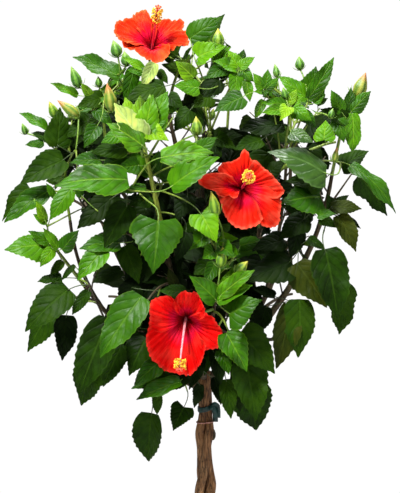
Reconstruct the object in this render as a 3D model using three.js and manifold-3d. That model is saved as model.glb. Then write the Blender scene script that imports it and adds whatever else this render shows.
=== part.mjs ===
// A red-flowered hibiscus shrub grown as a small standard: three stems twisted into one trunk, boughs that
// spread from its head, and masses of foliage on them, with three open blooms. Millimetres, +Z up, with the
// origin on the flat cut under the trunk. -Y is the front of the plant.

import * as THREE from 'three';
import { mergeVertices } from 'three/addons/utils/BufferGeometryUtils.js';
import Module from 'manifold-3d';

const wasm = await Module();
wasm.setup();

// ---- Driving sizes ----

const SEAT_GAP = 0.3; // clear of what carries a piece
const SEED = 20261;

// The trunk: three strands round one upright axis, cut off level at the ground.
const TRUNK_HEIGHT = 492;
const TRUNK_BELOW = 14; // what the cut takes off
const STRANDS = 3;
const STRAND_RADIUS = { foot: 9.5, head: 7.2 };
const STRAND_SPREAD = 4.8; // from the trunk's axis, where the twist is tight
const TWIST_TURNS = 1.55;
// Where the twist opens: height, how far the strands stand out there, and how long the opening is.
const OPENINGS = [
  { height: 4, out: 8, half: 34 },
  { height: 118, out: 4.6, half: 30 },
  { height: 208, out: 5.6, half: 30 },
  { height: 300, out: 6.2, half: 28 },
  { height: 392, out: 3.8, half: 18 },
];
const ROOT_FLARE = { out: 9, height: 22 };

// The tape that ties the strands under the crown.
const TIE = { height: 431, radius: 13, thick: 0.9, wide: 9, tails: [26, 21] };

// Each bough: what carries it, where on that (0 root, 1 tip), its tip, how far its middle bows off the
// straight line, and its radius at root and tip.
const BOUGHS = [
  {
    name: 'bough_right', from: 'trunk', at: 0.965, tip: [196, -62, 812],
    bow: [36, -16, -6], radius: [6.6, 2.9],
  },
  {
    name: 'bough_leader', from: 'trunk', at: 0.985, tip: [-58, -10, 905],
    bow: [12, 8, 0], radius: [7.2, 3],
  },
  {
    name: 'bough_left', from: 'trunk', at: 0.94, tip: [-186, -78, 640],
    bow: [4, -4, -26], radius: [6, 3],
  },
  {
    name: 'bough_front', from: 'trunk', at: 0.975, tip: [-62, -200, 735],
    bow: [0, -26, -20], radius: [5.6, 2.9],
  },
  {
    name: 'bough_back', from: 'trunk', at: 0.925, tip: [-5, 172, 690],
    bow: [4, 18, -30], radius: [6, 2.9],
  },
  {
    name: 'bough_back_left', from: 'trunk', at: 0.975, tip: [-172, 122, 720],
    bow: [-6, 16, -24], radius: [5.8, 2.9],
  },
  {
    name: 'bough_back_right', from: 'trunk', at: 0.945, tip: [152, 122, 720],
    bow: [10, 18, -20], radius: [5.8, 2.9],
  },
  {
    name: 'bough_left_high', from: 'bough_leader', at: 0.3, tip: [-150, -82, 850],
    bow: [-14, -10, -12], radius: [4.6, 2.6],
  },
  {
    name: 'bough_left_shoulder', from: 'bough_left_high', at: 0.5, tip: [-206, -38, 832],
    bow: [-10, 6, -10], radius: [3.4, 2.4],
  },
  {
    name: 'bough_left_wing', from: 'bough_left', at: 0.72, tip: [-205, -110, 745],
    bow: [-14, -6, -8], radius: [3.4, 2.4],
  },
  {
    name: 'bough_front_low', from: 'bough_front', at: 0.34, tip: [14, -182, 632],
    bow: [6, -10, -10], radius: [3.6, 2.4],
  },
  {
    name: 'bough_front_right', from: 'bough_leader', at: 0.14, tip: [84, -150, 752],
    bow: [12, -14, -10], radius: [4.2, 2.6],
  },
  {
    name: 'bough_centre', from: 'bough_leader', at: 0.4, tip: [-6, -96, 815],
    bow: [6, -10, -8], radius: [3.8, 2.4],
  },
  {
    name: 'bough_top_right', from: 'bough_leader', at: 0.5, tip: [34, -50, 880],
    bow: [10, -4, -10], radius: [3.6, 2.4],
  },
  {
    name: 'bough_right_high', from: 'bough_right', at: 0.5, tip: [134, -30, 862],
    bow: [0, 10, -4], radius: [3.8, 2.4],
  },
  {
    name: 'bough_right_low', from: 'bough_right', at: 0.26, tip: [106, -104, 566],
    bow: [6, -6, -6], radius: [3.4, 2.4],
  },
  {
    name: 'bough_back_low', from: 'bough_back', at: 0.42, tip: [14, 142, 560],
    bow: [4, 6, -8], radius: [3.4, 2.4],
  },
  {
    name: 'bough_back_high', from: 'bough_back', at: 0.6, tip: [-12, 138, 835],
    bow: [0, 16, 0], radius: [3.8, 2.4],
  },
  {
    name: 'bough_back_top', from: 'bough_leader', at: 0.6, tip: [0, 62, 905],
    bow: [4, 8, -4], radius: [3.4, 2.4],
  },
  {
    name: 'bough_back_left_high', from: 'bough_back_left', at: 0.58, tip: [-150, 92, 850],
    bow: [-8, 4, -4], radius: [3.6, 2.4],
  },
  {
    name: 'bough_back_right_high', from: 'bough_back_right', at: 0.58, tip: [136, 92, 852],
    bow: [8, 4, -4], radius: [3.6, 2.4],
  },
];

// Each mass of foliage: what carries it and where, the end of its stem, the reach of its leaves from there,
// its side twigs, the length of a grown leaf, how far its leaves hang (0 level, 1 steeply down), how young
// it is (0 dark and grown, 1 bright shoots), and its flower buds.
const MASSES = [
  {
    name: 'foliage_top', from: 'bough_leader', at: 1, tip: [-34, -22, 985],
    reach: 112, twigs: 4, leaf: 76, hang: 0.1, young: 0.6, buds: 1,
  },
  {
    name: 'foliage_top_right', from: 'bough_top_right', at: 1, tip: [40, -61, 969],
    reach: 105, twigs: 5, leaf: 69, hang: 0.15, young: 0.9, buds: 1,
  },
  {
    name: 'foliage_centre', from: 'bough_centre', at: 1, tip: [8, -128, 881],
    reach: 105, twigs: 4, leaf: 92, hang: 0.3, young: 0.5, buds: 1,
  },
  {
    name: 'foliage_right_upper', from: 'bough_right_high', at: 1, tip: [131, -45, 948],
    reach: 112, twigs: 5, leaf: 76, hang: 0.1, young: 0.6, buds: 3,
  },
  {
    name: 'foliage_right_lead', from: 'bough_right', at: 1, tip: [218, -62, 914],
    reach: 105, twigs: 4, leaf: 81, hang: 0.3, young: 0.6, buds: 1,
  },
  {
    name: 'foliage_right_wing', from: 'bough_right', at: 0.86, tip: [202, -63, 773],
    reach: 108, twigs: 4, leaf: 94, hang: 0.6, young: 0.1, buds: 0,
  },
  {
    name: 'foliage_right_low', from: 'bough_right', at: 0.6, tip: [177, -59, 677],
    reach: 118, twigs: 4, leaf: 103, hang: 0.8, young: 0, buds: 0,
  },
  {
    name: 'foliage_right_base', from: 'bough_right_low', at: 1, tip: [124, -110, 576],
    reach: 108, twigs: 4, leaf: 99, hang: 0.9, young: 0, buds: 0,
  },
  {
    name: 'foliage_centre_right', from: 'bough_front_right', at: 1, tip: [110, -173, 825],
    reach: 112, twigs: 4, leaf: 101, hang: 0.5, young: 0.2, buds: 0,
  },
  {
    name: 'foliage_front_bright', from: 'bough_front', at: 1, tip: [-89, -200, 863],
    reach: 112, twigs: 5, leaf: 83, hang: 0.2, young: 1, buds: 1,
  },
  {
    name: 'foliage_centre_left', from: 'bough_front', at: 0.84, tip: [-115, -191, 734],
    reach: 112, twigs: 4, leaf: 99, hang: 0.7, young: 0.2, buds: 0,
  },
  {
    name: 'foliage_centre_low', from: 'bough_front_low', at: 1, tip: [28, -209, 706],
    reach: 100, twigs: 4, leaf: 81, hang: 0.4, young: 0.9, buds: 2,
  },
  {
    name: 'foliage_left_upper', from: 'bough_left_high', at: 1, tip: [-154, -83, 937],
    reach: 108, twigs: 4, leaf: 78, hang: 0.15, young: 0.4, buds: 3,
  },
  {
    name: 'foliage_left_shoulder', from: 'bough_left_shoulder', at: 1, tip: [-221, -47, 888],
    reach: 100, twigs: 4, leaf: 76, hang: 0.2, young: 0.4, buds: 2,
  },
  {
    name: 'foliage_left_wing', from: 'bough_left_wing', at: 1, tip: [-214, -110, 799],
    reach: 108, twigs: 4, leaf: 96, hang: 0.5, young: 0.4, buds: 0,
  },
  {
    name: 'foliage_left_mid', from: 'bough_left', at: 1, tip: [-232, -125, 712],
    reach: 105, twigs: 4, leaf: 74, hang: 0.3, young: 0.6, buds: 0,
  },
  {
    name: 'foliage_left_low', from: 'bough_left', at: 0.9, tip: [-208, -54, 619],
    reach: 115, twigs: 4, leaf: 103, hang: 0.8, young: 0, buds: 0,
  },
  {
    name: 'foliage_left_base', from: 'bough_left', at: 0.6, tip: [-140, -128, 572],
    reach: 118, twigs: 4, leaf: 105, hang: 0.9, young: 0, buds: 0,
  },
  {
    name: 'foliage_base_left', from: 'bough_left', at: 0.24, tip: [-76, -83, 500],
    reach: 110, twigs: 4, leaf: 90, hang: 0.9, young: 0.1, buds: 0,
  },
  {
    name: 'foliage_base_right', from: 'bough_right', at: 0.14, tip: [56, -83, 513],
    reach: 110, twigs: 4, leaf: 96, hang: 0.9, young: 0.1, buds: 0,
  },
  {
    name: 'foliage_back_top', from: 'bough_back_top', at: 1, tip: [6, 94, 971],
    reach: 112, twigs: 4, leaf: 78, hang: 0.1, young: 0.5, buds: 1,
  },
  {
    name: 'foliage_back_high', from: 'bough_back_high', at: 1, tip: [-16, 193, 874],
    reach: 120, twigs: 5, leaf: 92, hang: 0.3, young: 0.4, buds: 1,
  },
  {
    name: 'foliage_back_centre', from: 'bough_back', at: 1, tip: [-15, 221, 723],
    reach: 120, twigs: 5, leaf: 99, hang: 0.6, young: 0.2, buds: 0,
  },
  {
    name: 'foliage_back_left_high', from: 'bough_back_left_high', at: 1, tip: [-180, 113, 911],
    reach: 118, twigs: 5, leaf: 85, hang: 0.2, young: 0.5, buds: 1,
  },
  {
    name: 'foliage_back_right_high', from: 'bough_back_right_high', at: 1, tip: [161, 115, 906],
    reach: 118, twigs: 5, leaf: 85, hang: 0.2, young: 0.5, buds: 1,
  },
  {
    name: 'foliage_back_left', from: 'bough_back_left', at: 1, tip: [-233, 101, 767],
    reach: 118, twigs: 5, leaf: 96, hang: 0.5, young: 0.2, buds: 0,
  },
  {
    name: 'foliage_back_right', from: 'bough_back_right', at: 1, tip: [218, 95, 764],
    reach: 118, twigs: 5, leaf: 96, hang: 0.5, young: 0.2, buds: 0,
  },
  {
    name: 'foliage_back_left_low', from: 'bough_back_left', at: 0.5, tip: [-163, 130, 595],
    reach: 120, twigs: 4, leaf: 101, hang: 0.9, young: 0, buds: 0,
  },
  {
    name: 'foliage_back_right_low', from: 'bough_back_right', at: 0.5, tip: [149, 131, 599],
    reach: 120, twigs: 4, leaf: 101, hang: 0.9, young: 0, buds: 0,
  },
  {
    name: 'foliage_back_low', from: 'bough_back_low', at: 1, tip: [-2, 171, 548],
    reach: 112, twigs: 4, leaf: 99, hang: 0.9, young: 0.1, buds: 0,
  },
];

// The leaves that stand out furthest, each at the end of its own twig: its mass, its blade's base and tip.
const LEADS = [
  { mass: 'foliage_base_left', base: [-84, -66, 438], tip: [-94, -60, 352] },
  { mass: 'foliage_right_wing', base: [236, -70, 812], tip: [292, -66, 752] },
  { mass: 'foliage_top', base: [-8, -40, 1010], tip: [26, -50, 1062] },
  { mass: 'foliage_left_wing', base: [-262, -120, 792], tip: [-314, -120, 748] },
  { mass: 'foliage_left_low', base: [-232, -84, 610], tip: [-286, -84, 540] },
  { mass: 'foliage_left_base', base: [-168, -136, 535], tip: [-196, -134, 462] },
  { mass: 'foliage_base_right', base: [66, -92, 492], tip: [84, -92, 412] },
  { mass: 'foliage_right_low', base: [206, -64, 640], tip: [218, -66, 560] },
];

// Each bloom: what carries it and where, its middle, the way it faces, its radius, how far its column nods.
const BLOOMS = [
  {
    name: 'bloom_top', from: 'bough_leader', at: 0.93, centre: [-85, -58, 1028],
    faces: [0.08, -0.7, 0.7], radius: 64, nod: -0.16, turn: 0.2,
  },
  {
    name: 'bloom_right', from: 'bough_front_right', at: 0.94, centre: [53, -246, 800],
    faces: [0.1, -0.97, 0.2], radius: 63, nod: 0.06, turn: 0.45,
  },
  {
    name: 'bloom_low', from: 'bough_front_low', at: 0.9, centre: [-30, -244, 596],
    faces: [-0.1, -0.95, -0.24], radius: 63, nod: 0.5, turn: 0.32,
  },
];

// The growing rule.
const GOLDEN_TURN = 2.39996;
const LEAF_TURN = 2.513; // from one leaf to the next round a twig
const TWIG = {
  first: 0.3, last: 0.98, // where on its stem the first and the last spring
  spread: 1.15, lift: 0.25,
  share: [0.45, 0.35], // of its mass's reach
  radius: 2.2, end: 1.8, sunk: 0.8,
};
const STEM_SIDES = 3;
const LEAF_STEP = 35; // between leaves along a twig
const LEAF_WIDTH = 0.7; // of its length
const LEAF_THICK = 0.026;
const LEAF_TRIES = 10;
const PETIOLE = { length: 0.24, radius: 1.2, sunk: 0.5 }; // its length as a share of the leaf's
const SHOOT_FULL = 5; // from its root to where a twig or petiole is full grown
const BLADE_WIDEST = 0.32;
const SPACE_MARGIN = 0.6; // between the spaces of two masses
const LIMB_MARGIN = 0.7; // between a leaf and a limb that it passes
const LEAD_STATION = 0.72; // where on a mass's stem its leads' twigs spring
const LEAD_ROOM = 0.16;
const LEAF_ROOM = 0.1; // clear round these places of a leaf, as a share of its length
const LEAF_PLACES = [[0.15, 0], [0.45, 0], [0.75, 0], [0.35, 0.24], [0.35, -0.24]];
// The balls that leaves keep out of at a bloom: how far forward, and their size, as shares of its radius.
const BLOOM_ROOM = [[-0.2, 1.02], [0.45, 0.95], [1, 0.8]];
const CROWN_HEART = [0, 0, 690];
const CROWN = { middle: [-20, 0, 790], wide: 314, up: 304, down: 392 }; // the outline that the leaves stay in
const BUD = { length: 23, radius: 5.6, stalk: 26 };
// The calyx behind a bloom: radius and height, as shares of the bloom's radius.
const CALYX = [[0, -0.66], [0.08, -0.64], [0.14, -0.5], [0.13, -0.34], [0, -0.3]];

const COLOURS = {
  bark: 0x6e5038,
  branch: 0x4f4a2a,
  grown: 0x2c5a1c,
  young: 0x6fae2c,
  petal: 0xe8231c,
  tape: 0x1f7a5c,
};

// ---- Vectors, draws and solids ----

const UP = new THREE.Vector3(0, 0, 1);
const point = (place) => new THREE.Vector3(...place);
const blend = (a, b, share) => a + (b - a) * share;

// A repeatable run of draws between 0 and 1, started from a name.
function drawsFor(name) {
  let state = SEED;
  for (const letter of name) {
    state = (Math.imul(state, 31) + letter.charCodeAt(0)) | 0;
  }
  return () => {
    state = (state + 0x6d2b79f5) | 0;
    let mixed = Math.imul(state ^ (state >>> 15), 1 | state);
    mixed = (mixed + Math.imul(mixed ^ (mixed >>> 7), 61 | mixed)) ^ mixed;
    return ((mixed ^ (mixed >>> 14)) >>> 0) / 4294967296;
  };
}

// The unit vector square to a heading, at a turn round it.
function across(heading, turn) {
  const aside = Math.abs(heading.z) > 0.9 ? new THREE.Vector3(1, 0, 0) : UP;
  const level = new THREE.Vector3().crossVectors(heading, aside).normalize();
  const rise = new THREE.Vector3().crossVectors(level, heading).normalize();
  return level.multiplyScalar(Math.cos(turn)).addScaledVector(rise, Math.sin(turn));
}

// A geometry's positions alone, so that the vertices that share a place can be merged.
function positionsOnly(geometry, index) {
  const bare = new THREE.BufferGeometry();
  bare.setAttribute('position', geometry.attributes.position);
  bare.setIndex(index);
  return bare;
}

function solidOf(geometry) {
  const merged = mergeVertices(positionsOnly(geometry, geometry.index), 1e-4);
  return new wasm.Manifold(new wasm.Mesh({
    numProp: 3,
    vertProperties: Float32Array.from(merged.attributes.position.array),
    triVerts: Uint32Array.from(merged.index.array),
  }));
}

// Moves each vertex of a geometry to where shape(x, y, z) puts it.
function shaped(geometry, shape) {
  const position = geometry.attributes.position;
  for (let i = 0; i < position.count; i += 1) {
    const place = shape(position.getX(i), position.getY(i), position.getZ(i));
    position.setXYZ(i, place.x, place.y, place.z);
  }
  return geometry;
}

const profileOf = (corners, wide, high) => corners.map(([x, y]) => new THREE.Vector2(x * wide, y * high));

const fused = (solids) => wasm.Manifold.union(solids);

// The largest body of a solid, without the scraps or sealed hollows that cutting and fusing leave.
function mainBody(solid) {
  const bodies = solid.decompose();
  return bodies.reduce((best, body) => (body.volume() > best.volume() ? body : best));
}

function geometryOf(solid) {
  const { vertProperties, triVerts, numProp } = solid.getMesh();
  const geometry = new THREE.BufferGeometry();
  const places = new Float32Array((vertProperties.length / numProp) * 3);
  for (let i = 0; i < places.length / 3; i += 1) {
    places.set(vertProperties.subarray(i * numProp, i * numProp + 3), i * 3);
  }
  geometry.setAttribute('position', new THREE.BufferAttribute(places, 3));
  geometry.setIndex(new THREE.BufferAttribute(Uint32Array.from(triVerts), 1));
  geometry.computeVertexNormals();
  return geometry;
}

// A limb round a curve. radiusAt(share) is its radius, and grown thickens and lengthens it all over.
function limbSolid(curve, radiusAt, sides, rings, grown = 0) {
  const geometry = new THREE.CylinderGeometry(1, 1, 1, sides, rings);
  const frames = curve.computeFrenetFrames(rings, false);
  return solidOf(shaped(geometry, (x, y, z) => {
    const ring = Math.round((y + 0.5) * rings);
    const share = ring / rings;
    const radius = radiusAt(share) + grown;
    const end = ring === 0 ? -grown : grown * (ring === rings);
    return curve.getPointAt(share)
      .addScaledVector(frames.normals[ring], x * radius)
      .addScaledVector(frames.binormals[ring], -z * radius)
      .addScaledVector(frames.tangents[ring], end);
  }));
}

// ---- Trunk ----

const trunkHeight = (share) => blend(-TRUNK_BELOW, TRUNK_HEIGHT, share);

class StrandCurve extends THREE.Curve {
  constructor(index) {
    super();
    this.phase = (index / STRANDS) * Math.PI * 2;
  }

  getPoint(share, target = new THREE.Vector3()) {
    const height = trunkHeight(share);
    const turn = this.phase + (height / TRUNK_HEIGHT) * TWIST_TURNS * Math.PI * 2;
    const opened = OPENINGS.map(({ height: middle, out, half }) => (
      out * Math.exp(-(((height - middle) / half) ** 2))));
    const spread = opened.reduce((sum, out) => sum + out, STRAND_SPREAD);
    return target.set(Math.cos(turn) * spread, Math.sin(turn) * spread, height);
  }
}

function strandRadius(share) {
  const flare = ROOT_FLARE.out * Math.exp(-Math.max(trunkHeight(share), 0) / ROOT_FLARE.height);
  return blend(STRAND_RADIUS.foot, STRAND_RADIUS.head, share) + flare;
}

function trunkSolid(grown = 0) {
  const strands = [...Array(STRANDS).keys()].map((index) => (
    limbSolid(new StrandCurve(index), strandRadius, 6, 14, grown)));
  const belowGround = new THREE.BoxGeometry(200, 200, 50).translate(0, 0, -25);
  return fused(strands).subtract(solidOf(belowGround));
}

// ---- Limbs: the boughs, and the stems of the masses and blooms ----

const trunkAxis = new THREE.LineCurve3(new THREE.Vector3(0, 0, 0), new THREE.Vector3(0, 0, TRUNK_HEIGHT));
const limbs = new Map([['trunk', { curve: trunkAxis, radius: [20, 13], solid: trunkSolid, tests: 60 }]]);

function addLimb(name, from, at, tip, bow, radius, sides, rings) {
  const carrier = limbs.get(from);
  const start = carrier.curve.getPoint(at);
  const end = point(tip);
  const middle = start.clone().add(end).multiplyScalar(0.5).addScaledVector(point(bow), 2);
  const curve = new THREE.QuadraticBezierCurve3(start, middle, end);
  const radiusAt = (share) => blend(radius[0], radius[1], share);
  const tests = Math.ceil(curve.getLength() / 4);
  limbs.set(name, {
    from, curve, radius, tests, solid: (grown = 0) => limbSolid(curve, radiusAt, sides, rings, grown),
  });
}

for (const { name, from, at, tip, bow, radius } of BOUGHS) {
  addLimb(name, from, at, tip, bow, radius, 5, 4);
}
for (const { name, from, at, tip } of MASSES) {
  const carrier = limbs.get(from);
  const start = carrier.curve.getPoint(at);
  const heading = carrier.curve.getTangent(at);
  const along = point(tip).sub(start);
  // The stem leaves as its bough points and turns towards its tip.
  const bow = heading.multiplyScalar(along.length() * 0.12).addScaledVector(along, -0.06);
  addLimb(name, from, at, tip, bow.toArray(), [Math.min(3, carrier.radius[1]), 2.6], STEM_SIDES, 2);
}
for (const { name, from, at, centre, faces, radius } of BLOOMS) {
  // The stalk ends in the calyx, behind the bloom.
  const foot = point(centre).addScaledVector(point(faces).normalize(), -radius * 0.62);
  const start = limbs.get(from).curve.getPoint(at);
  const bow = foot.clone().sub(start).projectOnPlane(point(faces)).multiplyScalar(0.16);
  addLimb(name, from, at, foot.toArray(), bow.toArray(), [2.3, 1.9], 4, 3);
}

// A piece without what its carrier fills, nor the gap round that.
function seated(solid, limb) {
  return mainBody(solid.subtract(limbs.get(limb.from).solid(SEAT_GAP)));
}

// Balls along the limbs, round the blooms and on the leads, which leaves and twigs keep clear of.
const kept = [];
for (const [owner, { curve, radius, tests }] of limbs) {
  for (let i = 0; i <= tests; i += 1) {
    const share = i / tests;
    const room = blend(radius[0], radius[1], share) + LIMB_MARGIN;
    kept.push({ owner, centre: curve.getPoint(share), radius: room });
  }
}
for (const { name, centre, faces, radius } of BLOOMS) {
  for (const [forward, share] of BLOOM_ROOM) {
    const middle = point(centre).addScaledVector(point(faces).normalize(), radius * forward);
    kept.push({ owner: name, centre: middle, radius: radius * share });
  }
}

// ---- Foliage ----

// A mass's own space: nearer to the end of its stem than to any other's, within its reach and the crown's
// outline.
function inSpace(mass, place) {
  const own = point(mass.tip);
  const off = place.clone().sub(point(CROWN.middle));
  off.set(off.x / CROWN.wide, off.y / CROWN.wide, off.z / (off.z > 0 ? CROWN.up : CROWN.down));
  if (place.distanceTo(own) > mass.reach || off.length() > 1) {
    return false;
  }
  return MASSES.every((other) => {
    if (other === mass) {
      return true;
    }
    const rival = point(other.tip);
    const side = place.distanceToSquared(rival) - place.distanceToSquared(own);
    return side > 2 * SPACE_MARGIN * rival.distanceTo(own);
  });
}

// A leaf's frame: where its petiole springs and the way that goes, its blade's base and the way that points,
// its face's normal and its side. The face looks as near to face as the blade allows.
function framed(root, heading, base, axis, face, length) {
  const normal = face.clone().addScaledVector(axis, -face.dot(axis)).normalize();
  return { root, heading, base, axis, normal, side: new THREE.Vector3().crossVectors(axis, normal), length };
}

// The way that a leaf would face: up and outward, and more to the front or back than to the sides.
const lightward = (outward) => (
  new THREE.Vector3(outward.x * 0.5, outward.y + Math.sign(outward.y) * 0.55, 0.6));

function drawnLeaf(root, heading, outward, length, hang, draw) {
  const petiole = length * PETIOLE.length * blend(0.8, 1.3, draw());
  const base = root.clone().addScaledVector(heading, petiole);
  const level = new THREE.Vector3(outward.x, outward.y, 0).normalize();
  const axis = heading.clone().addScaledVector(level, blend(0.3, 0.8, draw()));
  axis.addScaledVector(UP, blend(0.1, -2.2, hang * blend(0.6, 1.2, draw()))).normalize();
  const face = lightward(outward).addScaledVector(across(axis, 0), blend(-0.6, 0.6, draw()));
  return framed(root, heading, base, axis, face, length);
}

// A point of the leaf, from shares of its length along it and across it, and a height off its face.
function onLeaf({ base, axis, normal, side, length }, along, beside, height) {
  const arch = length * (0.1 * Math.sin(Math.PI * along) - 0.06 * along);
  return base.clone()
    .addScaledVector(axis, along * length)
    .addScaledVector(side, beside * length)
    .addScaledVector(normal, arch + height);
}

const LEAF_OUTLINE = [[0.3, 0.5], [0.3, -0.5], [0.65, 0.36], [0.65, -0.36], [1, 0]];

function leafFits(leaf, mass, placed) {
  const corners = LEAF_OUTLINE.map(([along, beside]) => onLeaf(leaf, along, beside * LEAF_WIDTH, 0));
  if (![...corners, leaf.base].every((place) => inSpace(mass, place))) {
    return false;
  }
  const touches = ({ centre, radius }) => {
    const off = centre.clone().sub(leaf.base);
    const along = off.dot(leaf.axis) / leaf.length;
    const share = Math.max(0, Math.min(1, along * 4 + 0.3, (1 - along) * 1.9));
    const half = LEAF_WIDTH * leaf.length * 0.5 * share;
    const height = off.dot(leaf.normal) - onLeaf(leaf, along, 0, 0).sub(leaf.base).dot(leaf.normal);
    const room = radius + LEAF_THICK * leaf.length;
    return along * leaf.length > -room && along * leaf.length < leaf.length + room
      && Math.abs(off.dot(leaf.side)) < half + room && Math.abs(height) < room;
  };
  const stalkClear = [0.4, 0.7, 1].every((share) => (
    clearOfLimbs(leaf.root.clone().lerp(leaf.base, share), PETIOLE.radius, mass)));
  return stalkClear && !kept.some(touches) && !placed.some(touches);
}

function clearOfLimbs(place, radius, mass) {
  return kept.every((ball) => (
    ball.owner === mass.name || ball.centre.distanceTo(place) > ball.radius + radius));
}

// A closed three-sided form along rings of { centre, half, high, facing }, pointed at both ends. side is the
// way that its width lies.
function spindleSolid(rings, side) {
  const levels = rings.length - 1;
  const geometry = new THREE.CylinderGeometry(1, 1, 1, 3, levels, true);
  const spun = shaped(geometry, (x, y, z) => {
    const { centre, half, high, facing } = rings[Math.round((y + 0.5) * levels)];
    const lift = new THREE.Vector3().crossVectors(side, facing).normalize();
    const beside = new THREE.Vector3().crossVectors(facing, lift);
    return centre.clone().addScaledVector(beside, (x * half) / 0.866).addScaledVector(lift, z * high);
  });
  // The rings at the two ends are points, so the triangles that fold flat there go.
  const merged = mergeVertices(positionsOnly(spun, geometry.index), 1e-4);
  const whole = [];
  for (let i = 0; i < merged.index.count; i += 3) {
    const [a, b, c] = [0, 1, 2].map((corner) => merged.index.getX(i + corner));
    if (a !== b && b !== c && c !== a) {
      whole.push(a, b, c);
    }
  }
  merged.setIndex(whole);
  return solidOf(merged);
}

// The rings of a round shoot from inside what carries it, as far as where it is full grown.
const shootRings = (root, heading, radius, sunk) => [
  { centre: root.clone().addScaledVector(heading, -sunk), half: 0, high: 0, facing: heading },
  { centre: root.clone().addScaledVector(heading, SHOOT_FULL), half: radius, high: radius, facing: heading },
];

// A leaf: its petiole, or the whole twig that it ends, widens into a blade with a ridge along its middle.
function leafSolid(leaf) {
  const { root, heading, axis, side, length, twig } = leaf;
  const thick = Math.max(LEAF_THICK * length * 0.5, PETIOLE.radius * 0.8);
  const shoot = twig
    ? [...shootRings(twig.root, twig.heading, TWIG.radius, TWIG.sunk),
      { centre: root, half: TWIG.end, high: TWIG.end, facing: heading.clone().add(twig.heading).normalize() }]
    : shootRings(root, heading, PETIOLE.radius, PETIOLE.sunk);
  return spindleSolid([
    ...shoot,
    { centre: onLeaf(leaf, BLADE_WIDEST, 0, 0), half: LEAF_WIDTH * length * 0.5, high: thick, facing: axis },
    { centre: onLeaf(leaf, 1, 0, 0), half: 0, high: 0, facing: axis },
  ], side);
}

// A twig from inside its stem, or a bud's stalk from inside its twig, pointed at both ends.
function twigSolid({ root, heading, length }) {
  const ring = (along, half) => (
    { centre: root.clone().addScaledVector(heading, along), half, high: half, facing: heading });
  return spindleSolid([...shootRings(root, heading, TWIG.radius, TWIG.sunk), ring(length, TWIG.end),
    ring(length + 3, 0)], across(heading, 1));
}

// A flower bud on a short stalk at a twig's end.
function budSolids(root, heading) {
  const upward = heading.clone().multiplyScalar(0.6).add(UP).normalize();
  const foot = root.clone().addScaledVector(upward, BUD.stalk);
  const stalk = twigSolid({ root, heading: upward, length: BUD.stalk });
  const turned = new THREE.Quaternion().setFromUnitVectors(UP, upward);
  const bud = shaped(new THREE.OctahedronGeometry(1), (x, y, z) => (
    new THREE.Vector3(x * BUD.radius, y * BUD.radius, z * BUD.length * (z > 0 ? 0.7 : 0.3))
      .applyQuaternion(turned).addScaledVector(upward, BUD.length * 0.3 - 2).add(foot)));
  return [stalk, solidOf(bud)];
}

const outwardFrom = (place) => place.clone().sub(point(CROWN_HEART)).normalize();

// The lead leaves of a mass, each on its own twig from the stem.
function leadLeaves(mass) {
  const stem = limbs.get(mass.name);
  return LEADS.filter((lead) => lead.mass === mass.name).map(({ base, tip }) => {
    const root = stem.curve.getPoint(LEAD_STATION);
    const foot = point(base);
    const axis = point(tip).sub(foot);
    const length = axis.length();
    axis.normalize();
    // The twig ends a petiole's length short of the blade.
    const end = foot.clone().addScaledVector(axis, -length * 0.12).lerp(root, 0.12);
    const heading = end.clone().sub(root);
    const twig = { root, length: heading.length(), heading: heading.normalize() };
    const petiole = foot.clone().sub(end).normalize();
    return { ...framed(end, petiole, foot, axis, lightward(outwardFrom(foot)), length), twig };
  });
}

for (const mass of MASSES) {
  for (const leaf of leadLeaves(mass)) {
    for (const [along, beside] of LEAF_PLACES) {
      const centre = onLeaf(leaf, along, beside, 0);
      kept.push({ owner: `${mass.name} lead`, centre, radius: leaf.length * LEAD_ROOM });
    }
    for (let share = 0.1; share <= 1; share += 0.1) {
      const centre = leaf.twig.root.clone().lerp(leaf.base, share);
      kept.push({ owner: mass.name, centre, radius: TWIG.radius + LIMB_MARGIN });
    }
  }
}

function growTwigs(mass, stem) {
  const twigs = [];
  for (let i = 0; i < mass.twigs; i += 1) {
    const draw = drawsFor(`${mass.name} twig ${i}`);
    const station = blend(TWIG.first, TWIG.last, (i + draw()) / mass.twigs);
    const root = stem.curve.getPoint(station);
    const along = stem.curve.getTangent(station);
    const heading = across(along, i * GOLDEN_TURN + draw()).multiplyScalar(TWIG.spread).add(along);
    heading.addScaledVector(UP, TWIG.lift).normalize();
    const wanted = mass.reach * (TWIG.share[0] + TWIG.share[1] * draw());
    for (const share of [1, 0.8, 0.6, 0.42]) {
      const end = root.clone().addScaledVector(heading, wanted * share);
      const clear = [0.25, 0.5, 0.75, 1].every((part) => {
        const place = root.clone().lerp(end, part);
        return inSpace(mass, place) && clearOfLimbs(place, TWIG.radius, mass);
      });
      if (clear) {
        twigs.push({ root, heading, curve: new THREE.LineCurve3(root, end), length: wanted * share });
        break;
      }
    }
  }
  return twigs;
}

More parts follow.
